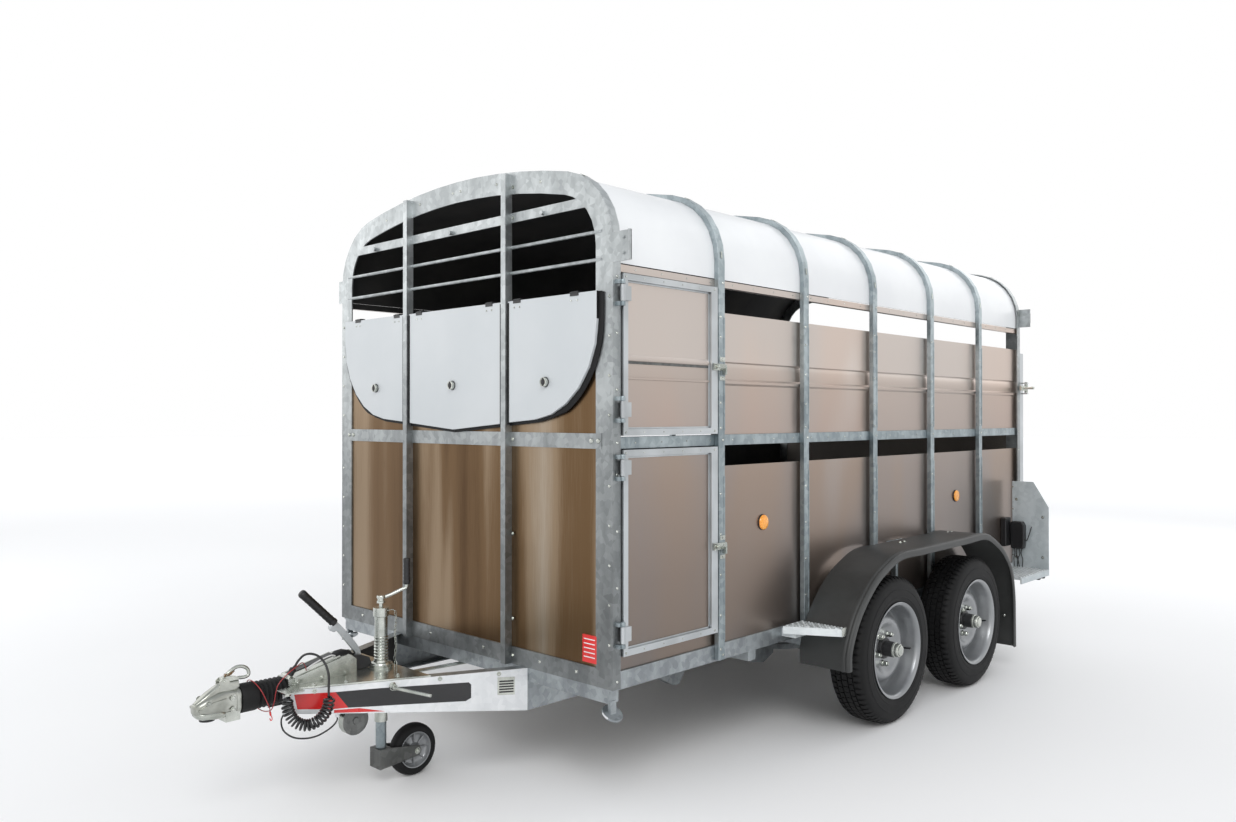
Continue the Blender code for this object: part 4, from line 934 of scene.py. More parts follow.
def build_flap_details():
    for name, centre, hinges, side in (
        ("near", 0.575, (0.41, 0.73), 1),
        ("middle", 0.0, (-0.24, 0.24), 1),
        ("far", -0.575, (-0.41, -0.73), -1),
    ):
        body = f"flap_{name}"
        bm = empty_mesh()
        for x in hinges:
            add_box(bm, (x - 0.022, FLAP_FACE - 0.002, 1.842), (x + 0.022, FLAP_FACE + 0.001, 1.8535))
            add_rod(bm, (x - 0.022, FLAP_FACE - 0.001, 1.855), (x + 0.022, FLAP_FACE - 0.001, 1.855), 0.003,
                    10, 0.0006)
        piece(f"flap_hinges_{name}", bm, BLACK_PLASTIC, body, "grip", bevel=0.0006)
        bm = empty_mesh()
        # Black strips along the flaps' side edges, over the narrow gap beside each stay.
        for edge in ((-0.316, 0.316) if name == "middle" else (side * 0.356,)):
            inward = -1 if (edge > 0) == (name == "middle") else 1
            inward = inward if side > 0 else -1
            low, high = sorted((edge - 0.0015 * inward, edge + 0.0075 * inward))
            add_box(bm, (low, FLAP_FACE - 0.0012, 1.375), (high, FLAP_FACE + 0.01, 1.846))
        if name != "middle":
            rings = []
            outline = [(0.844, 1.848, 1.0, 0.0), (0.844, 1.8, 1.0, 0.0)]
            for i in range(25):
                angle = math.radians(-3.2 * i)
                c, s = math.cos(angle), math.sin(angle)
                fade = min(1.0, 0.15 + (24 - i) / 6)
                outline.append((0.484 + 0.36 * c, 1.753 + 0.36 * s, fade * c, fade * s))
            for x, z, nx, nz in outline:
                rings.append([(side * (x + depth * nx), y, z + depth * nz) for depth, y in (
                    (-0.002, FLAP_BACK - 0.0035), (0.017, FLAP_BACK - 0.003), (0.021, FLAP_BACK + 0.0005),
                    (0.02, FLAP_BACK + 0.0045), (-0.002, FLAP_BACK + 0.0045))])
            add_loft(bm, rings)
        piece(f"flap_black_edging_{name}", bm, BLACK_RUBBER, body, "grip", sharp=50.0)
        bm = empty_mesh()
        for x in hinges:
            for dx in (-0.016, 0.016):
                add_dome(bm, (x + dx, FLAP_FACE, 1.826), (0, -1, 0), 0.0042, 0.0026, 10)
        piece(f"flap_hinge_screws_{name}", bm, ZINC, body, "zinc")
        bm = empty_mesh()
        knob = (centre, FLAP_FACE - 0.0138, 1.534)
        add_lathe(bm, [(0.0175, 0.0), (0.0175, 0.001), (0.0125, 0.0012), (0.0125, 0.0005)], knob,
                (0, -1, 0), 24)
        piece(f"flap_knob_rim_{name}", bm, CAST, body, "zinc")
        bm = empty_mesh()
        add_lathe(bm, [(0.0122, 0.0), (0.0118, 0.0012), (0.004, 0.0018)], knob, (0, -1, 0), 20)
        add_box(bm, (centre - 0.003, FLAP_FACE - 0.017, 1.519), (centre + 0.003, FLAP_FACE - 0.0142, 1.549))
        add_lathe(bm, [(0.0195, -0.0125), (0.0195, -0.01), (0.0182, -0.01)], knob, (0, -1, 0), 24)
        piece(f"flap_knob_turn_{name}", bm, BLACK_PLASTIC, body, "grip", bevel=0.0005)
    bm = empty_mesh()
    for x in (0.41, 0.73, -0.24, 0.24, -0.41, -0.73):
        add_box(bm, (x - 0.02, FRONT - 0.0175, 1.8565), (x + 0.02, FRONT + 0.0055, 1.86))
        add_box(bm, (x - 0.004, FRONT - 0.0018, 1.8425), (x + 0.004, FRONT + 0.0058, 1.86))
    piece("flap_hinge_leaves", bm, BLACK_PLASTIC, slot="grip", bevel=0.0006)


def build_door_details():
    """Hinge brackets on the front post and catch plates on the first hoop."""
    bm = empty_mesh()
    for height in (0.636, 1.225, 1.43, 1.842):
        for low, high in ((height - 0.046, height - 0.0315), (height + 0.0315, height + 0.046)):
            add_lathe(bm, [(0.0088, low), (0.0096, low + 0.002), (0.0096, high - 0.002), (0.0088, high)],
                    (DOOR_HINGE_X, DOOR_HINGE_Y, 0), (0, 0, 1), 14)
            add_box(bm, (0.9045, DOOR_HINGE_Y - 0.019, low), (DOOR_HINGE_X, DOOR_HINGE_Y - 0.004, high))
        add_dome(bm, (DOOR_HINGE_X, DOOR_HINGE_Y, height + 0.046), (0, 0, 1), 0.0085, 0.003, 12)
    piece("door_hinge_brackets", bm, HOOP, slot="galvanised", bevel=0.0007)
    for name, low, high, latch in (("upper", 1.337, 1.915, 1.6), ("lower", 0.555, 1.287, 0.895)):
        body = f"door_{name}"
        bm = empty_mesh()
        for y in (FRONT + 0.045 + 0.012, FRONT + 0.585 - 0.02):
            for z in (low + 0.012, high - 0.012):
                add_dome(bm, (0.915, y, z), (1, 0, 0), 0.0045, 0.0026, 10)
        for i in range(1, 5):
            add_dome(bm, (0.915, FRONT + 0.045 + 0.108 * i, low + 0.012), (1, 0, 0), 0.003, 0.0018, 8)
            add_dome(bm, (0.915, FRONT + 0.045 + 0.108 * i, high - 0.012), (1, 0, 0), 0.003, 0.0018, 8)
        piece(f"door_rivets_{name}", bm, ZINC, body, "zinc")
        bm = empty_mesh()
        lip = 0.006
        inner_low = low + 0.024
        inner_high = high - 0.024
        add_box(bm, (0.9005, FRONT + 0.069, inner_low), (0.9045, FRONT + 0.069 + lip, inner_high))
        add_box(bm, (0.9005, FRONT + 0.545 - lip, inner_low), (0.9045, FRONT + 0.545, inner_high))
        add_box(bm, (0.9005, FRONT + 0.069, inner_low), (0.9045, FRONT + 0.545, inner_low + lip))
        add_box(bm, (0.9005, FRONT + 0.069, inner_high - lip), (0.9045, FRONT + 0.545, inner_high))
        piece(f"door_beading_{name}", bm, EXTRUSION, body, "aluminium", bevel=0.0008)
        bm = empty_mesh()
        pivot = (0.9316, FRONT + 0.566, latch)
        add_hex_bolt(bm, pivot, (1, 0, 0), 0.007)
        add_dome(bm, (0.9236, FRONT + 0.61, latch + 0.004), (1, 0, 0), 0.004, 0.002)
        piece(f"latch_bolt_{name}", bm, ZINC, f"latch_{name}", "zinc")
        bm = empty_mesh()
        add_box(bm, (0.915, FRONT + 0.594, latch + 0.022), (0.9195, FRONT + 0.627, latch + 0.04))
        add_box(bm, (0.915, FRONT + 0.594, latch - 0.052), (0.9195, FRONT + 0.627, latch - 0.036))
        add_dome(bm, (0.9195, FRONT + 0.6105, latch + 0.031), (1, 0, 0), 0.0045, 0.003)
        add_dome(bm, (0.9195, FRONT + 0.6105, latch - 0.044), (1, 0, 0), 0.0045, 0.003)
        piece(f"latch_keeper_{name}", bm, ZINC, slot="zinc", bevel=0.0007)
    bm = empty_mesh()
    add_box(bm, (0.9003, FRONT + 0.072, 1.538), (0.9062, FRONT + 0.542, 1.547))
    ridge = [(0.9003, 1.604), (0.905, 1.6045), (0.9078, 1.612), (0.9078, 1.615), (0.9003, 1.628)]
    add_prism(bm, ridge, "y", FRONT + 0.072, FRONT + 0.542)
    piece("door_swage", bm, SHEET_TOP_PAINTED_LIGHT, "door_upper", "aluminium", bevel=0.0015)
    bm = empty_mesh()
    add_box(bm, (0.9003, FRONT + 0.072, 1.5945), (0.9036, FRONT + 0.542, 1.6035))
    piece("door_swage_shadow", bm, DULL_STEEL, "door_upper", "aluminium")


def build_lamps():
    """Side markers, front and rear brackets, and the lamps on the rear boards."""
    bm = empty_mesh()
    base = empty_mesh()
    for y in (FRONT + 0.93, FRONT + 2.785):
        centre = (PANEL, y, 0.96)
        profile = [(0.0315, 0.003), (0.0315, 0.007), (0.029, 0.0105), (0.023, 0.0125), (0.012, 0.0134),
                (0.002, 0.0137)]
        add_lathe(bm, profile, centre, (1, 0, 0), 32)
        add_lathe(base, [(0.0335, -0.0004), (0.0335, 0.004), (0.0318, 0.005)], centre, (1, 0, 0), 32)
    piece("side_lamp_lenses", mirror_mesh(bm), AMBER, slot="flap_white")
    piece("side_lamp_bases", mirror_mesh(base), BLACK_PLASTIC, slot="grip")

    bm = empty_mesh()
    for z in (1.975, 2.03):
        add_hex_bolt(bm, (0.958, FRONT, z), (0, -1, 0), 0.005)
    add_box(bm, (0.988, FRONT - 0.01, 1.948), (0.992, FRONT + 0.004, 2.054))
    piece("marker_bracket_flange", bm, GALVANISED, slot="galvanised", bevel=0.0008)

    bm = empty_mesh()
    lens = empty_mesh()
    for side in (1, -1):
        add_box(bm, (min(side * 0.935, side * 0.968), REAR - 0.0005, 1.985),
                (max(side * 0.935, side * 0.968), REAR + 0.01, 2.045))
        add_box(lens, (min(side * 0.938, side * 0.965), REAR + 0.01, 1.989),
                (max(side * 0.938, side * 0.965), REAR + 0.018, 2.041))
    piece("rear_marker_bases", bm, BLACK_PLASTIC, slot="grip", bevel=0.002)
    piece("rear_marker_lenses", lens, RED_LENS, slot="red_lead", bevel=0.003)

    board_front = FRONT + 3.5
    board_back = FRONT + 3.505
    bm = empty_mesh()
    body = [(0.925, 0.605), (1.0, 0.605), (1.004, 0.64), (1.004, 0.745), (0.992, 0.768), (0.93, 0.768),
            (0.921, 0.745)]
    add_prism(bm, body, "y", board_front - 0.046, board_front - 0.0005)
    add_box(bm, (0.8845, FRONT + 3.405, 0.618), (0.918, FRONT + 3.485, 0.79))
    piece("lamp_backs", mirror_mesh(bm), BLACK_PLASTIC, slot="grip", bevel=0.006)
    bm = empty_mesh()
    for x0, drift in ((0.94, 0.004), (0.956, -0.003), (0.968, 0.006), (0.985, -0.004)):
        line = [(x0, board_front - 0.022, 0.607), (x0 + drift, board_front - 0.024, 0.575),
                (x0 - drift, board_front - 0.02, 0.54), (x0, board_front - 0.016, 0.492)]
        add_tube(bm, smooth_route(line, 0.008), 0.0026, 8)
    line = [(0.996, board_front - 0.02, 0.66), (1.012, board_front - 0.02, 0.655),
            (1.026, board_front - 0.018, 0.69),
            (1.034, board_front - 0.012, 0.725), (1.036, board_front - 0.004, 0.738)]
    add_tube(bm, smooth_route(line, 0.006), 0.0028, 8)
    piece("lamp_wires", mirror_mesh(bm), CABLE, slot="lead")
    bm = empty_mesh()
    for x, z in ((0.945, 0.9), (1.1, 0.8), (1.1, 0.56), (0.945, 0.55)):
        add_hex_bolt(bm, (x, board_front, z), (0, -1, 0), 0.006)
    for z in (0.56, 0.7, 0.84, 0.975):
        add_dome(bm, (0.924, board_front, z), (0, -1, 0), 0.005, 0.003)
    piece("lamp_board_bolts", mirror_mesh(bm), ZINC, slot="zinc")
    bm = empty_mesh()
    add_box(bm, (0.928, board_back, 0.555), (0.995, board_back + 0.03, 0.8))
    piece("rear_lamp_housings", mirror_mesh(bm), BLACK_PLASTIC, slot="grip", bevel=0.005)
    for name, material, low, high, slot in (
        ("stop", RED_LENS, 0.646, 0.716, "red_lead"),
        ("turn", AMBER, 0.72, 0.792, "flap_white"),
        ("plain", CLEAR_LENS, 0.563, 0.642, "flap_white"),
    ):
        bm = empty_mesh()
        add_box(bm, (0.933, board_back + 0.029, low), (0.99, board_back + 0.038, high))
        piece(f"rear_lamp_{name}", mirror_mesh(bm), material, slot=slot, bevel=0.004)


def build_steps():
    """Open-grip treads, their lips and the rubber buffers."""
    board = FRONT + 3.505
    bm = empty_mesh()
    start = FRONT + 3.085
    for i in range(13):
        x = 0.932 + i * 0.0155
        add_box(bm, (x, start + 0.004, 0.4895), (x + 0.0075, board - 0.006, 0.4945))
    for i in range(9):
        y = start + 0.03 + i * 0.044
        add_box(bm, (0.926, y, 0.4895), (1.128, y + 0.006, 0.493))
    piece("rear_step_grips", mirror_mesh(bm), TREAD_PLATE, slot="galvanised", bevel=0.0012)
    bm = empty_mesh()
    for y in (board - 0.1, board - 0.03):
        add_rod(bm, (1.105, y, 0.4785), (1.105, y, 0.44), 0.02, 20, 0.003, 0.016)
    piece("step_buffers", mirror_mesh(bm), BLACK_RUBBER, slot="grip")

    bm = empty_mesh()
    back = FRONT + 1.173
    for i in range(13):
        x = 0.924 + i * 0.016
        front = FRONT + 1.03 + (x - 0.917) * 0.5505
        if back - front > 0.02:
            add_box(bm, (x, front + 0.004, 0.5095), (x + 0.008, back - 0.003, 0.515))
    for i in range(3):
        y = FRONT + 1.145 - i * 0.03
        reach = min(1.13, 0.917 + (y - FRONT - 1.03) / 0.5505)
        add_box(bm, (0.922, y, 0.5095), (reach - 0.004, y + 0.006, 0.5135))
    piece("side_step_grips", bm, TREAD_PLATE, slot="galvanised", bevel=0.0012)
    bm = empty_mesh()
    add_box(bm, (1.1345, FRONT + 1.146, 0.48), (1.1375, FRONT + 1.1775, 0.516))
    piece("side_step_end_cap", bm, ZINC, slot="zinc", bevel=0.0008)


def build_labels():
    """Plain coloured plates in place of the maker's signs."""
    bm = empty_mesh()
    add_box(bm, (0.752, FRONT - 0.0002, 0.522), (0.824, FRONT + 0.0062, 0.62))
    piece("front_red_plate", bm, RED_VINYL, slot="red_lead")
    bm = empty_mesh()
    for z in (0.604, 0.588, 0.572, 0.556, 0.54):
        add_box(bm, (0.76, FRONT - 0.0006, z), (0.816, FRONT + 0.001, z + 0.0035))
    piece("front_plate_rules", bm, WHITE_PRINT, slot="flap_white")

    def along(y):
        """Outer face of the near drawbar arm."""
        return 0.157 + (y - (FRONT - 0.6)) * 0.4883

    def strip(bm, outline, proud=0.0009):
        inner = [(along(y) - 0.0006, y, z) for y, z in outline]
        outer = [(along(y) + proud, y, z) for y, z in outline]
        add_loft(bm, [inner, outer])

    def bottom(y):
        return 0.339 - (y - (FRONT - 0.6)) * (0.059 / 0.6)

    bm = empty_mesh()
    strip(bm, [(FRONT - 0.64, 0.42), (FRONT - 0.6, 0.36), (FRONT - 0.53, 0.356), (FRONT - 0.44, 0.352),
            (FRONT - 0.215, 0.34), (FRONT - 0.196, 0.35), (FRONT - 0.196, 0.4), (FRONT - 0.204, 0.409),
            (FRONT - 0.5, 0.419)])
    piece("drawbar_black_panel", bm, BLACK_VINYL, slot="grip")
    bm = empty_mesh()
    strip(bm, [(FRONT - 0.762, 0.425), (FRONT - 0.752, 0.372), (FRONT - 0.64, 0.36), (FRONT - 0.596, 0.36),
            (FRONT - 0.636, 0.42)], 0.0012)
    strip(bm, [(FRONT - 0.64, 0.356), (FRONT - 0.56, 0.354), (FRONT - 0.48, bottom(FRONT - 0.48) + 0.006),
            (FRONT - 0.64, bottom(FRONT - 0.64) + 0.003)], 0.001)
    piece("drawbar_red_panel", bm, RED_VINYL, slot="red_lead")
    bm = empty_mesh()
    strip(bm, [(FRONT - 0.105, 0.35), (FRONT - 0.045, 0.3465), (FRONT - 0.045, 0.414),
            (FRONT - 0.105, 0.417)], 0.0015)
    piece("data_plate", bm, ZINC, slot="zinc")
    bm = empty_mesh()
    for z in (0.402, 0.392, 0.382, 0.372, 0.362):
        strip(bm, [(FRONT - 0.1, z - 0.004), (FRONT - 0.05, z - 0.006), (FRONT - 0.05, z),
                (FRONT - 0.1, z + 0.002)], 0.002)
    piece("data_plate_rules", bm, BLACK_VINYL, slot="grip")
    bm = empty_mesh()
    for y, z in ((FRONT - 0.3, 0.432), (FRONT - 0.1, 0.43), (FRONT - 0.7, 0.43)):
        add_hex_bolt(bm, (along(y), y, z), (0.899, -0.438, 0), 0.006)
    add_lathe(bm, [(0.015, -0.001), (0.015, 0.004), (0.01, 0.006), (0.01, 0.002)],
            (along(FRONT - 0.455), FRONT - 0.455, 0.421), (1, 0, 0), 20)
    piece("drawbar_bolts", bm, ZINC, slot="zinc")


# Running gear


def wedge(bm, quad, middle, start, end):
    """A block between two angles about the X axis; its outline is four (x, radius) corners."""
    rings = []
    for angle in (start, end):
        rings.append([(x, middle[1] + r * math.cos(angle), middle[2] + r * math.sin(angle)) for x,
                r in quad])
    add_loft(bm, rings)


def build_wheel(position, y, side):
    label = "near" if side > 0 else "far"
    body = f"wheel_{position}_{label}"
    middle = (0.0, y, AXLE_HEIGHT)
    half = [
        (0.207, 0.062), (0.208, 0.071), (0.214, 0.08), (0.223, 0.0855), (0.233, 0.088), (0.24, 0.0888),
        (0.241, 0.09), (0.244, 0.09), (0.245, 0.0892), (0.262, 0.0903), (0.274, 0.0893), (0.275, 0.0903),
        (0.279, 0.09), (0.28, 0.0884), (0.293, 0.0868), (0.304, 0.0842), (0.314, 0.0795), (0.322, 0.0725),
        (0.3265, 0.064), (0.3275, 0.056),
    ]
    profile = [(r, WHEEL_X + x) for r, x in half] + [(r, WHEEL_X - x) for r, x in reversed(half)]
    profile += [(0.207, WHEEL_X - 0.055), (0.3, WHEEL_X - 0.058), (0.3, WHEEL_X + 0.058),
            (0.207, WHEEL_X + 0.055)]
    bm = empty_mesh()
    add_lathe(bm, profile, middle, (1, 0, 0), 72, closed=True)
    lugs = 68
    step = 2 * math.pi / lugs
    rows = (
        ([(-0.0135, 0.3255), (0.0135, 0.3255), (0.0128, 0.334), (-0.0128, 0.334)], 0.0, 0.9),
        ([(0.018, 0.3255), (0.039, 0.3255), (0.0385, 0.334), (0.0185, 0.334)], 0.5, 0.84),
        ([(-0.039, 0.3255), (-0.018, 0.3255), (-0.0185, 0.334), (-0.0385, 0.334)], 0.25, 0.84),
        ([(0.044, 0.325), (0.081, 0.313), (0.0705, 0.3262), (0.06, 0.3325), (0.0445, 0.334)], 0.1, 0.66),
        ([(-0.044, 0.325), (-0.0445, 0.334), (-0.06, 0.3325), (-0.0705, 0.3262), (-0.081, 0.313)], 0.7,
         0.66),
    )
    for outline, phase, share in rows:
        for i in range(lugs):
            start = (i + phase) * step
            wedge(bm, [(WHEEL_X + x, r) for x, r in outline], middle, start, start + share * step)
    piece(f"tyre_{position}_{label}_treaded", flip_to(bm, side), TYRE, body, "tyre",
          [f"tyre_{position}_{label}"], sharp=28.0)

    bm = empty_mesh()
    barrel = [
        (0.2175, 1.1302), (0.219, 1.1288), (0.2185, 1.127), (0.212, 1.1255), (0.2055, 1.118),
        (0.2038, 1.11),
        (0.2038, 0.97), (0.206, 0.962), (0.2185, 0.952), (0.2165, 0.9502), (0.204, 0.958), (0.1985, 0.97),
        (0.1985, 1.024), (0.162, 1.033), (0.148, 1.048), (0.132, 1.062), (0.116, 1.06), (0.1, 1.044),
        (0.09, 1.038), (0.042, 1.038), (0.042, 1.05), (0.086, 1.05), (0.096, 1.054), (0.108, 1.066),
        (0.118, 1.0735), (0.13, 1.075), (0.142, 1.071), (0.154, 1.058), (0.166, 1.042), (0.178, 1.034),
        (0.188, 1.032), (0.192, 1.038), (0.193, 1.056), (0.1935, 1.084), (0.1965, 1.09), (0.197, 1.104),
        (0.199, 1.109), (0.2005, 1.118), (0.205, 1.1245), (0.212, 1.129),
    ]
    add_lathe(bm, barrel, middle, (1, 0, 0), 64, closed=True)
    piece(f"rim_{position}_{label}_dished", flip_to(bm, side), RIM, body, "rim",
          [f"rim_{position}_{label}"], sharp=40.0)
    bm = empty_mesh()
    add_lathe(bm, [(0.112, 0.937), (0.112, 1.04), (0.1, 1.044), (0.1, 0.985), (0.0195, 0.985),
            (0.0195, 0.9372),
            (0.104, 0.9851), (0.104, 0.937)], middle, (1, 0, 0), 32, closed=True)
    piece(f"drum_{position}_{label}", flip_to(bm, side), DULL_STEEL, body, "galvanised")
    bm = empty_mesh()
    add_lathe(bm, [(0.049, 1.042), (0.049, 1.062), (0.047, 1.066), (0.036, 1.068), (0.035, 1.108),
            (0.03, 1.11)],
            middle, (1, 0, 0), 32)
    piece(f"hub_{position}_{label}", flip_to(bm, side), BLACK_PLASTIC, body, "grip", sharp=30.0)
    bm = empty_mesh()
    add_lathe(bm, [(0.029, 1.108), (0.0325, 1.1095), (0.0335, 1.111), (0.0335, 1.118), (0.031, 1.12),
            (0.031, 1.132),
            (0.029, 1.137), (0.024, 1.1395), (0.023, 1.1435), (0.012, 1.1452)], middle, (1, 0, 0),
            32)
    piece(f"hub_cap_{position}_{label}", flip_to(bm, side), ZINC, body, "zinc", sharp=30.0)
    bm = empty_mesh()
    for i in range(5):
        angle = 2 * math.pi * (i + 0.73) / 5
        place = (0.0, middle[1] + 0.071 * math.cos(angle), middle[2] + 0.071 * math.sin(angle))
        add_lathe(bm, [(0.015, 1.0495), (0.015, 1.0545), (0.013, 1.0575)], place, (1, 0, 0), 18)
        add_lathe(bm, [(0.0125, 1.056), (0.0125, 1.073), (0.01, 1.077)], place, (1, 0, 0), 6)
        add_lathe(bm, [(0.0088, 1.0755), (0.0078, 1.0805), (0.0035, 1.083)], place, (1, 0, 0), 12)
    piece(f"wheel_nuts_{position}_{label}", flip_to(bm, side), ZINC, body, "zinc", sharp=30.0)
    bm = empty_mesh()
    add_tube(bm, smooth_route([(1.06, y + 0.172, AXLE_HEIGHT - 0.028),
            (1.085, y + 0.168, AXLE_HEIGHT - 0.026),
            (1.108, y + 0.16, AXLE_HEIGHT - 0.022)], 0.008), 0.0042, 10)
    piece(f"valve_{position}_{label}", flip_to(bm, side), CABLE, body, "lead")


def build_mudguard(label, side):
    """A smooth double-lipped plastic guard with its rear flap."""
    outline = [
        (1.16, 0.33), (1.165, 0.42), (1.24, 0.555), (1.37, 0.675), (1.49, 0.738), (1.635, 0.782),
        (1.86, 0.784), (2.09, 0.7862), (2.32, 0.788), (2.544, 0.79), (2.68, 0.745), (2.8, 0.674),
        (2.895, 0.57), (2.935, 0.43), (2.942, 0.29), (2.945, 0.135),
    ]
    path = smooth_route([(0.0, FRONT + y, z) for y, z in outline], 0.022)
    section = [
        (0.918, 0.0), (1.11, 0.0), (1.122, 0.0008), (1.132, 0.003), (1.138, 0.0012), (1.142, -0.0006),
        (1.147, 0.0026),
        (1.154, 0.002), (1.159, -0.0025), (1.16, -0.01), (1.16, -0.027), (1.157, -0.03), (1.153, -0.0285),
        (1.1525, -0.01), (1.147, -0.0062), (1.11, -0.005), (0.918, -0.005),
    ]
    rings = []
    for i, point in enumerate(path):
        direction = (path[min(i + 1, len(path) - 1)] - path[max(i - 1, 0)]).normalized()
        outward = Vector((0, -direction.z, direction.y))
        rings.append([Vector((x, 0, 0)) + point + depth * outward for x, depth in section])
    bm = empty_mesh()
    add_loft(bm, rings)
    piece(f"mudguard_{label}_lipped", flip_to(bm, side), GUARD, slot="guard_plastic",
          replaces=[f"mudguard_{label}"], sharp=50.0)
    bm = empty_mesh()
    for y in (1.943, 1.985, 2.47, 2.512):
        rise = (y - 1.7) * 0.0065
        add_lathe(bm, [(0.011, -0.001), (0.011, 0.0018)], (0.985, FRONT + y, 0.7845 + rise), (0, 0, 1), 16)
        add_dome(bm, (0.985, FRONT + y, 0.7865 + rise), (0, 0, 1), 0.0075, 0.005, 12)
    for x in (0.975, 1.095):
        add_dome(bm, (x, FRONT + 2.9435, 0.3), (0, 1, 0), 0.008, 0.004, 12)
        add_dome(bm, (x, FRONT + 2.934, 0.3), (0, -1, 0), 0.008, 0.004, 12)
    piece(f"mudguard_bolts_{label}", flip_to(bm, side), ZINC, slot="zinc")
    bm = empty_mesh()
    add_box(bm, (0.886, FRONT + 2.04, 0.5), (0.912, FRONT + 2.062, 0.78))
    add_box(bm, (0.886, FRONT + 2.04, 0.764), (1.14, FRONT + 2.1, 0.77))
    add_box(bm, (0.886, FRONT + 1.99, 0.7), (0.89, FRONT + 2.15, 0.78))
    piece(f"mudguard_stay_{label}", flip_to(bm, side), HOOP, slot="galvanised", bevel=0.001)


def build_underside():
    """Brake rods and spring clamps that show from low down."""
    bm = empty_mesh()
    for x in (-0.01, 0.01):
        add_tube(bm, smooth_route([(x, FRONT - 0.5, 0.398), (x, FRONT + 0.2, 0.372),
                (x * 3, FRONT + 1.0, 0.352),
                (x * 5, FRONT + 1.52, 0.345)], 0.08), 0.005, 8)
    add_tube(bm, smooth_route([(0.0, FRONT + 1.7, 0.3505), (0.02, FRONT + 2.05, 0.372),
            (0.0, FRONT + 2.44, 0.3505)], 0.06),
            0.005, 8)
    piece("brake_rods", bm, ZINC, slot="zinc")
    bm = empty_mesh()
    for y in AXLES:
        for dy in (-0.034, 0.034):
            for x in (0.594, 0.6225, 0.651):
                add_rod(bm, (x, y + dy, 0.268), (x, y + dy, 0.372), 0.005, 8)
        add_box(bm, (0.585, y - 0.045, 0.2665), (0.66, y + 0.045, 0.2735))
        add_box(bm, (0.585, y - 0.045, 0.3655), (0.66, y + 0.045, 0.3715))
    piece("spring_clamps", mirror_mesh(bm), DULL_STEEL, slot="galvanised", bevel=0.0008)


# Hitch


def ring_section(y, half, low, high, power=3.2, count=28):
    """A rounded-rectangle ring in the X-Z plane."""
    middle = (low + high) / 2
    tall = (high - low) / 2
    ring = []
    for i in range(count):
        angle = 2 * math.pi * i / count
        c, s = math.cos(angle), math.sin(angle)
        ring.append((
            half * math.copysign(abs(c) ** (2 / power), c),
            y,
            middle + tall * math.copysign(abs(s) ** (2 / power), s),
        ))
    return ring


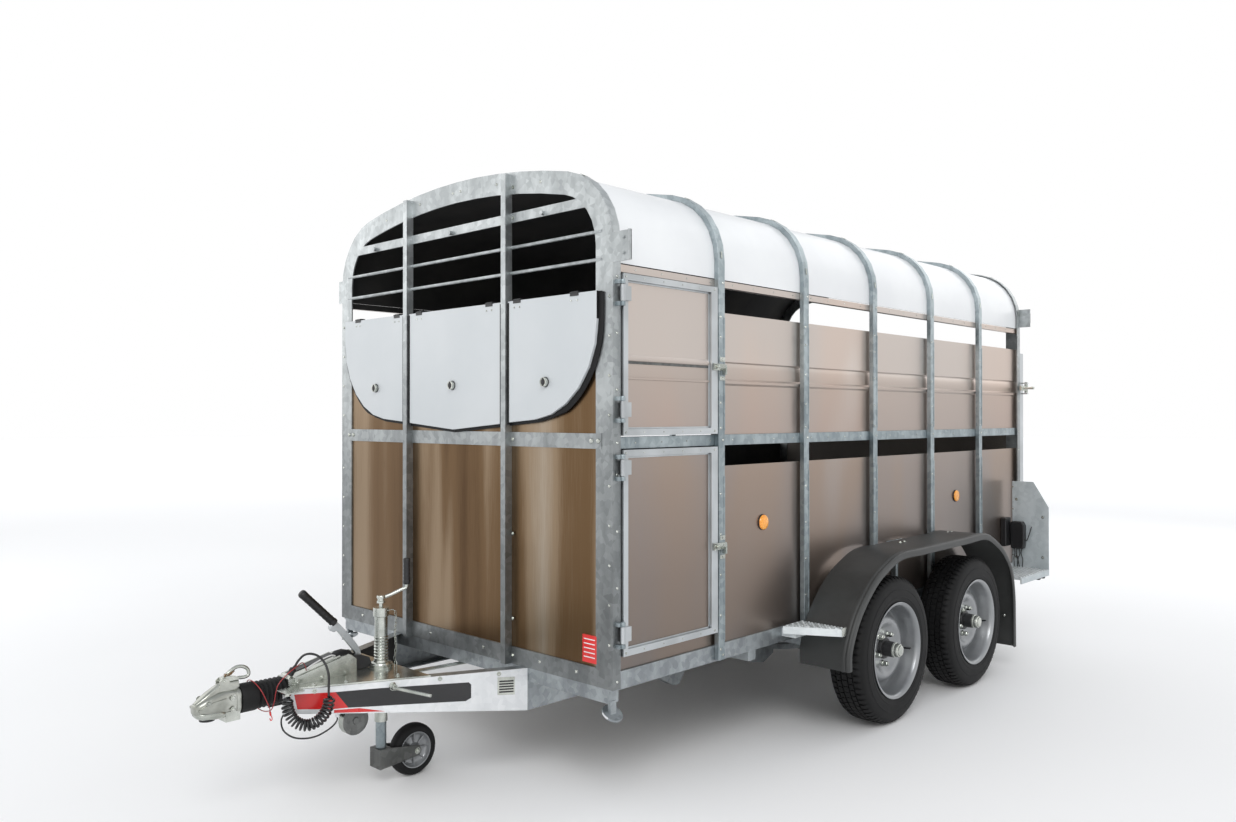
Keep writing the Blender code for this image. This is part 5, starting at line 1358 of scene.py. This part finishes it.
def build_coupling():
    bm = empty_mesh()
    stations = [
        (-1.0845, 0.01, 0.414, 0.428), (-1.0835, 0.0175, 0.408, 0.435), (-1.079, 0.0235, 0.404, 0.441),
        (-1.07, 0.0285, 0.401, 0.447), (-1.056, 0.0325, 0.398, 0.454), (-1.04, 0.036, 0.396, 0.461),
        (-1.02, 0.0375, 0.394, 0.467), (-1.005, 0.0365, 0.392, 0.471), (-0.985, 0.034, 0.39, 0.473),
        (-0.96, 0.0335, 0.391, 0.471), (-0.948, 0.034, 0.391, 0.4685), (-0.947, 0.037, 0.388, 0.471),
        (-0.932, 0.037, 0.388, 0.471),
    ]
    add_loft(bm, [ring_section(FRONT + y, half, low, high) for y, half, low, high in stations])
    for side in (1, -1):
        rib = [(FRONT - 1.078, 0.428), (FRONT - 1.03, 0.446), (FRONT - 0.985, 0.45), (FRONT - 0.985, 0.44),
               (FRONT - 1.03, 0.436), (FRONT - 1.076, 0.42)]
        add_prism(bm, rib, "x", *sorted((side * 0.028, side * 0.0415)))
        lug = [(FRONT - 1.0, 0.46), (FRONT - 1.0, 0.505), (FRONT - 0.99, 0.513), (FRONT - 0.976, 0.513),
               (FRONT - 0.966, 0.503), (FRONT - 0.962, 0.46)]
        add_prism(bm, lug, "x", *sorted((side * 0.0136, side * 0.018)))
    neck = [(-1.08, 0.012, 0.425, 0.444), (-1.062, 0.019, 0.43, 0.458), (-1.04, 0.022, 0.43, 0.473),
            (-1.015, 0.02, 0.43, 0.488), (-0.995, 0.017, 0.43, 0.4985), (-0.93, 0.014, 0.43, 0.4985),
            (-0.931, 0.012, 0.43, 0.47)]
    add_loft(bm, [ring_section(FRONT + y, half, low, high, 3.0) for y, half, low, high in neck])
    piece("coupling_casting", bm, CAST, "coupling", "zinc", ["coupling_head"], bevel=0.0015, sharp=38.0)
    bm = empty_mesh()
    jaw = [ring_section(FRONT + y, half, low, high, 2.6) for y, half, low, high in (
        (-1.08, 0.016, 0.4, 0.414), (-1.074, 0.026, 0.393, 0.416), (-1.06, 0.035, 0.386, 0.417),
        (-1.03, 0.038, 0.382, 0.417), (-1.0, 0.038, 0.38, 0.414), (-0.987, 0.034, 0.382, 0.41))]
    add_loft(bm, jaw)
    add_box(bm, (-0.03, FRONT - 0.985, 0.3665), (0.03, FRONT - 0.934, 0.4))
    piece("coupling_jaw", bm, ZINC, "coupling", "zinc", bevel=0.0012, sharp=38.0)
    bm = empty_mesh()
    add_rod(bm, (0, FRONT - 1.036, 0.386), (0, FRONT - 1.036, 0.3795), 0.0255, 28)
    piece("coupling_socket", bm, BLACK_PLASTIC, "coupling", "grip")
    bm = empty_mesh()
    for side in (1, -1):
        add_hex_bolt(bm, (side * 0.018, FRONT - 0.985, 0.504), (side, 0, 0), 0.0045)
    piece("coupling_pivot_bolts", bm, ZINC, "coupling", "zinc")
    bm = empty_mesh()
    for y, z in ((-1.046, 0.446), (-0.962, 0.448), (-0.962, 0.408)):
        add_hex_bolt(bm, (0.0375 if y > -1.0 else 0.0395, FRONT + y, z), (1, 0, 0), 0.0068)
        add_hex_bolt(bm, (-0.0375 if y > -1.0 else -0.0395, FRONT + y, z), (-1, 0, 0), 0.0068)
    piece("coupling_bolts", bm, ZINC, "coupling", "zinc")
    bm = empty_mesh()
    add_rod(bm, (0, FRONT - 0.932, SHAFT), (0, FRONT - 0.64, SHAFT), 0.0248, 32)
    piece("overrun_shaft", bm, ZINC, "coupling", "zinc")

    y, z = HANDLE
    bm = empty_mesh()
    loop = [(0, y + 0.006, z + 0.006), (0, y + 0.022, z + 0.022), (0, y + 0.048, z + 0.036),
            (0, y + 0.072, z + 0.035),
            (0, y + 0.09, z + 0.022), (0, y + 0.094, z + 0.004), (0, y + 0.082, z - 0.003),
            (0, y + 0.05, z - 0.001)]
    add_tube(bm, smooth_route(loop, 0.006), 0.0062, 14)
    add_prism(bm, [(y - 0.008, z - 0.005), (y + 0.056, z - 0.005), (y + 0.05, z + 0.006),
            (y + 0.018, z + 0.014),
            (y - 0.004, z + 0.01)], "x", -0.0125, 0.0125)
    piece("coupling_release_loop", bm, ZINC, "coupling_handle", "zinc", ["coupling_handle"], bevel=0.001,
          sharp=38.0)
    bm = empty_mesh()
    add_prism(bm, [(y + 0.004, z + 0.01), (y + 0.03, z + 0.014), (y + 0.044, z + 0.026),
            (y + 0.028, z + 0.026),
            (y + 0.01, z + 0.02)], "x", -0.006, 0.006)
    piece("coupling_release_catch", bm, galvanised_material("bronzed_steel", (0.13, 0.075, 0.035),
            (0.3, 0.19, 0.1)),
          "coupling_handle", "zinc", bevel=0.001)


def build_bellows():
    start = FRONT - 0.93
    end = FRONT - 0.7642
    profile = [(0.0262, 0.0), (0.048, 0.0), (0.0498, 0.003), (0.05, 0.052), (0.049, 0.058), (0.042, 0.062)]
    folds = 6
    fold = (end - start - 0.066) / folds
    for i in range(folds):
        place = 0.064 + fold * i
        profile += [(0.0395, place + 0.1 * fold), (0.0465, place + 0.38 * fold),
                (0.0478, place + 0.5 * fold),
                (0.0465, place + 0.62 * fold), (0.0395, place + 0.9 * fold)]
    profile += [(0.04, end - start - 0.002), (0.0262, end - start)]
    bm = empty_mesh()
    add_lathe(bm, profile, (0, start, SHAFT), (0, 1, 0), 48)
    bellows = piece("overrun_bellows", bm, BLACK_RUBBER, "root", "grip", ["shaft_bellows"], sharp=50.0)
    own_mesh(bellows)


def build_handbrake():
    y, z = LEVER
    bm = empty_mesh()
    line = smooth_route([(0, y, z - 0.006), (0, y - 0.004, z + 0.03), (0, y - 0.02, z + 0.056),
            (0, y - 0.06, z + 0.106), (0, y - 0.108, z + 0.161)], 0.01)
    rings = []
    for i, point in enumerate(line):
        direction = (line[min(i + 1, len(line) - 1)] - line[max(i - 1, 0)]).normalized()
        side_way = Vector((0, -direction.z, direction.y))
        wide = 0.01 + 0.003 * math.sin(math.pi * i / (len(line) - 1))
        rings.append([point + side_way * s * wide + Vector((x, 0, 0))
                for s, x in ((-1, -0.0062), (-1, 0.0062), (1, 0.0062), (1, -0.0062))])
    add_loft(bm, rings)
    add_lathe(bm, [(0.0155, -0.0095), (0.0165, -0.008), (0.0165, 0.008), (0.0155, 0.0095)],
            (0, y - 0.105, z + 0.14), (1, 0, 0), 24)
    piece("handbrake_arm", bm, EXTRUSION, "handbrake", "zinc", ["handbrake_lever"], bevel=0.0014)
    bm = empty_mesh()
    start = Vector((0, y - 0.1, z + 0.153))
    direction = Vector((0, -0.136, 0.133)).normalized()
    length = 0.19
    profile = [(0.0125, 0.0), (0.0165, 0.003), (0.0165, 0.012), (0.0148, 0.016)]
    for i in range(7):
        place = 0.024 + 0.02 * i
        profile += [(0.015, place), (0.0158, place + 0.005), (0.015, place + 0.01)]
    profile += [(0.0158, length - 0.016), (0.016, length - 0.008), (0.013, length - 0.002), (0.006, length)]
    add_lathe(bm, profile, start, direction, 24)
    piece("handbrake_grip", bm, GRIP, "handbrake", "grip", sharp=60.0)
    bm = empty_mesh()
    add_rod(bm, (0.0165, FRONT - 0.46, 0.48), (-0.0165, FRONT - 0.46, 0.48), 0.008, 16, 0.001)
    piece("handbrake_pin", bm, ZINC, slot="zinc")


def build_housing():
    """Boot, cover seams, holder and the plate's bolts."""
    bm = empty_mesh()
    stations = ((-0.564, 0.03, 0.474, 0.521), (-0.548, 0.036, 0.464, 0.529), (-0.526, 0.036, 0.452, 0.531),
            (-0.501, 0.032, 0.449, 0.524), (-0.488, 0.026, 0.449, 0.508))
    add_loft(bm, [ring_section(FRONT + y, half, low, high, 2.6) for y, half, low, high in stations])
    piece("brake_boot", bm, BLACK_RUBBER, slot="grip", bevel=0.0016, sharp=50.0)
    bm = empty_mesh()
    add_prism(bm, [(FRONT - 0.736, 0.472), (FRONT - 0.7, 0.483), (FRONT - 0.562, 0.516),
            (FRONT - 0.562, 0.5195),
            (FRONT - 0.7, 0.4865), (FRONT - 0.736, 0.4765)], "x", -0.034, -0.004)
    piece("housing_dark_insert", bm, BLACK_PLASTIC, slot="grip", bevel=0.0008)
    bm = empty_mesh()
    add_prism(bm, [(FRONT - 0.49, 0.4495), (FRONT - 0.43, 0.4495), (FRONT - 0.415, 0.46),
            (FRONT - 0.425, 0.488),
            (FRONT - 0.46, 0.502), (FRONT - 0.49, 0.506)], "x", 0.0175, 0.024)
    add_prism(bm, [(FRONT - 0.49, 0.4495), (FRONT - 0.43, 0.4495), (FRONT - 0.415, 0.46),
            (FRONT - 0.425, 0.488),
            (FRONT - 0.46, 0.502), (FRONT - 0.49, 0.506)], "x", -0.024, -0.0175)
    piece("handbrake_side_cheeks", bm, BLACK_PLASTIC, slot="grip", bevel=0.0008)
    bm = empty_mesh()
    for x in (-0.04, 0.04):
        add_prism(bm, [(FRONT - 0.738, 0.4735), (FRONT - 0.7, 0.485), (FRONT - 0.56, 0.517),
                (FRONT - 0.56, 0.52),
                (FRONT - 0.7, 0.4885), (FRONT - 0.738, 0.4772)], "x", x - 0.004, x + 0.004)
    for side in (1, -1):
        for y in (-0.735, -0.64, -0.545):
            add_hex_bolt(bm, (side * 0.052, FRONT + y, 0.458), (side, 0, 0), 0.006)
        for x, y in ((0.1, -0.7), (0.15, -0.6), (0.21, -0.42), (0.11, -0.4)):
            add_hex_bolt(bm, (side * x, FRONT + y, 0.449), (0, 0, 1), 0.008)
    piece("housing_ribs_and_bolts", bm, ZINC, slot="zinc", bevel=0.0008)

    bm = empty_mesh()
    start = Vector((0.085, FRONT - 0.541, 0.292))
    add_lathe(bm, [(0.0525, 0.0335), (0.049, 0.035), (0.042, 0.0345), (0.04, 0.036), (0.014, 0.036),
            (0.012, 0.04),
            (0.006, 0.0405)], start, (1, 0, 0), 32)
    piece("reel_cover", bm, DULL_STEEL, slot="galvanised")

    bm = empty_mesh()
    link_count = 13
    for i in range(link_count):
        z = 0.655 - i * 0.0142
        sway = 0.004 * math.sin(0.9 * i)
        centre = Vector((JOCKEY[0] + 0.052 + sway, JOCKEY[1] + 0.03, z))
        flat = Vector((1, 0, 0)) if i % 2 else Vector((0, 1, 0))
        loop = []
        for k in range(12):
            angle = 2 * math.pi * k / 12
            loop.append(centre + 0.0042 * math.cos(angle) * flat + Vector((0, 0, 0.0092 * math.sin(angle))))
        add_tube(bm, loop, 0.0013, 6, closed=True)
    centre = Vector((JOCKEY[0] + 0.053, JOCKEY[1] + 0.03, 0.46))
    big = [centre + Vector((0.0085 * math.cos(a), 0,
            0.015 * math.sin(a))) for a in (2 * math.pi * k / 20 for k in range(20))]
    add_tube(bm, big, 0.0018, 8, closed=True)
    add_tube(bm, smooth_route([(JOCKEY[0] + 0.024, JOCKEY[1] + 0.008, 0.663),
            (JOCKEY[0] + 0.04, JOCKEY[1] + 0.024, 0.668),
            (JOCKEY[0] + 0.052, JOCKEY[1] + 0.03, 0.662)], 0.004), 0.0016, 6)
    piece("safety_chain", bm, ZINC, "jockey_mast", "zinc")

    bm = empty_mesh()
    line = [(0.014, FRONT - 0.56, 0.512), (0.02, FRONT - 0.585, 0.521), (0.026, FRONT - 0.63, 0.514),
            (0.033, FRONT - 0.672, 0.503), (0.033, FRONT - 0.69, 0.492)]
    add_tube(bm, smooth_route(line, 0.006), 0.0028, 8)
    piece("breakaway_link_rod", bm, WHITE_PRINT, slot="zinc")


def build_jockey():
    x, y = JOCKEY
    bm = empty_mesh()
    for i in range(8):
        z = 0.478 + i * 0.0115
        add_lathe(bm, [(0.0244, z), (0.0262, z + 0.002), (0.0268, z + 0.004), (0.0262, z + 0.006),
                (0.0244, z + 0.0075)],
                (x, y, 0), (0, 0, 1), 36)
    add_lathe(bm, [(0.0244, 0.64), (0.03, 0.643), (0.03, 0.656)], (x, y, 0), (0, 0, 1), 36)
    piece("mast_ribs", bm, ZINC, "jockey_mast", "zinc", sharp=60.0)
    bm = empty_mesh()
    add_lathe(bm, [(0.04, 0.462), (0.038, 0.466), (0.029, 0.469), (0.027, 0.476), (0.0255, 0.4765),
            (0.0255, 0.4625)],
            (x, y, 0), (0, 0, 1), 36, closed=True)
    piece("mast_socket", bm, ZINC, slot="zinc", sharp=40.0)
    bm = empty_mesh()
    add_lathe(bm, [(0.0075, 0.67), (0.0075, 0.69), (0.016, 0.692), (0.016, 0.699), (0.013, 0.701),
            (0.013, 0.708),
            (0.0165, 0.71), (0.0165, 0.718), (0.015, 0.7205)], (x, y, 0), (0, 0, 1), 28)
    grip = Vector((x + 0.045, y + 0.085, 0.0))
    arm = smooth_route([(x + 0.004, y + 0.008, 0.712), (x + 0.018, y + 0.034, 0.722),
            (x + 0.036, y + 0.068, 0.739),
            (x + 0.0445, y + 0.083, 0.745), (grip.x, grip.y, 0.754), (grip.x, grip.y, 0.768)],
            0.006)
    add_tube(bm, arm, 0.0062, 12)
    piece("jockey_crank_arm", bm, ZINC, "jockey_crank", "zinc", ["jockey_crank"], sharp=40.0)
    bm = empty_mesh()
    profile = [(0.011, 0.758), (0.0138, 0.76), (0.0138, 0.772)]
    for i in range(5):
        z = 0.776 + 0.015 * i
        profile += [(0.0122, z), (0.0132, z + 0.004), (0.0132, z + 0.009)]
    profile += [(0.0138, 0.853), (0.0125, 0.858), (0.006, 0.86)]
    add_lathe(bm, profile, grip, (0, 0, 1), 24)
    piece("jockey_crank_grip", bm, GRIP, "jockey_crank", "grip", sharp=60.0)

    centre = JOCKEY_WHEEL
    bm = empty_mesh()
    tyre = [(0.066, 0.02), (0.07, 0.0245), (0.078, 0.0262), (0.086, 0.0258), (0.093, 0.0225),
            (0.0975, 0.0165),
            (0.0995, 0.0085), (0.1, 0.0)]
    profile = tyre + [(r, -a) for r, a in reversed(tyre[:-1])] + [(0.064, -0.012), (0.064, 0.012)]
    add_lathe(bm, profile, centre, (1, 0, 0), 48, closed=True)
    piece("jockey_tyre", bm, TYRE, "jockey_wheel", "tyre", ["jockey_wheel"], sharp=50.0)
    bm = empty_mesh()
    rim = [(0.0705, 0.0235), (0.069, 0.0255), (0.066, 0.0245), (0.06, 0.013), (0.054, 0.0075),
           (0.042, 0.006),
           (0.026, 0.01), (0.02, 0.02), (0.017, 0.026), (0.0075, 0.026), (0.0075, -0.026), (0.017, -0.026),
           (0.02, -0.02), (0.026, -0.01), (0.042, -0.006), (0.054, -0.0075), (0.06, -0.013),
           (0.066, -0.0245), (0.069, -0.0255), (0.0705, -0.0235), (0.0665, -0.016), (0.064, 0.0),
           (0.0665, 0.016)]
    add_lathe(bm, rim, centre, (1, 0, 0), 48, closed=True)
    for i in range(8):
        angle = 2 * math.pi * i / 8
        c, s = math.cos(angle), math.sin(angle)
        for sign in (1, -1):
            inner = Vector((centre[0] + sign * 0.009, centre[1] + 0.028 * c, centre[2] + 0.028 * s))
            outer = Vector((centre[0] + sign * 0.0125, centre[1] + 0.061 * c, centre[2] + 0.061 * s))
            add_tube(bm, [inner, outer], [0.0045, 0.003], 8)
    piece("jockey_rim", bm, RIM, "jockey_wheel", "rim", sharp=40.0)
    bm = empty_mesh()
    for sign in (1, -1):
        add_hex_bolt(bm, (centre[0] + sign * 0.036, centre[1], centre[2]), (sign, 0, 0), 0.0085)
    piece("jockey_axle_nuts", bm, ZINC, "jockey_fork", "zinc")


# Ramp


def build_ramp_details():
    body = "ramp"
    bm = empty_mesh()
    low = 0.51
    for i in range(1, 12):
        x = -0.825 + i * 0.1375
        for z0, z1 in ((low, 0.9), (0.95, 1.34), (1.39, 1.745)):
            add_box(bm, (x - 0.006, REAR + 0.0175, z0), (x + 0.006, REAR + 0.023, z1))
    piece("ramp_outer_ribs", bm, SHEET_TOP_PAINTED_LIGHT, body, "aluminium", bevel=0.0015)
    bm = empty_mesh()
    for side in (1, -1):
        for z in (0.481, 0.925, 1.365, 1.77):
            for x in (0.868, 0.886):
                add_dome(bm, (side * x, REAR + 0.0625, z), (0, 1, 0), 0.006, 0.0024)
    for x in (-0.6, -0.3, 0.0, 0.3, 0.6):
        for z in (0.481, 0.925, 1.365, 1.77):
            add_dome(bm, (x, REAR + 0.0625, z), (0, 1, 0), 0.0055, 0.0024)
    piece("ramp_rivets", bm, ZINC, body, "zinc")
    bm = empty_mesh()
    for x in (-0.7, -0.25, 0.25, 0.7):
        add_rod(bm, (x - 0.045, REAR + 0.0125, 0.456), (x + 0.045, REAR + 0.0125, 0.456), 0.0095, 16, 0.001)
    piece("ramp_hinge_barrels", bm, ZINC, body, "zinc")
    bm = empty_mesh()
    for side in (1, -1):
        corners = [(side * 0.775, 0.56), (side * 0.625, 0.56), (side * 0.7, 0.69)]
        add_prism(bm, corners, "y", REAR + 0.023, REAR + 0.029)
    piece("ramp_reflectors", bm, RED_LENS, body, "red_lead", bevel=0.002)
    for label, side in SIDES:
        bm = empty_mesh()
        add_dome(bm, (side * 0.926, REAR + 0.045, 1.58 + 0.0362), (0, 0, 1), 0.0095, 0.004, 14)
        stub = [(0.008, 0.0), (0.0086, 0.003), (0.0086, 0.014), (0.007, 0.018), (0.003, 0.019)]
        add_lathe(bm, stub, (side * 0.98, REAR - 0.015, 1.58), (side, 0, 0), 18)
        piece(f"ramp_lock_knob_{label}", bm, ZINC, f"ramp_lock_{label}", "zinc", sharp=50.0)


def build_interior():
    """Floor ribs seen through the grille and vents."""
    bm = empty_mesh()
    for i in range(20):
        y = FRONT + 0.16 + i * 0.175
        add_box(bm, (-0.83, y - 0.006, 0.4695), (0.83, y + 0.006, 0.474))
    piece("deck_cleats", bm, TREAD_PLATE, slot="galvanised", bevel=0.001)


build_stage()
build_cords()
dress_frames()
build_frame_bolts()
build_flap_details()
build_door_details()
build_lamps()
build_steps()
build_labels()
for axle_name, axle_y in zip(("front", "rear"), AXLES):
    for _, side_sign in SIDES:
        build_wheel(axle_name, axle_y, side_sign)
for side_label, side_sign in SIDES:
    build_mudguard(side_label, side_sign)
build_underside()
build_coupling()
build_bellows()
build_handbrake()
build_housing()
build_jockey()
build_ramp_details()
build_interior()
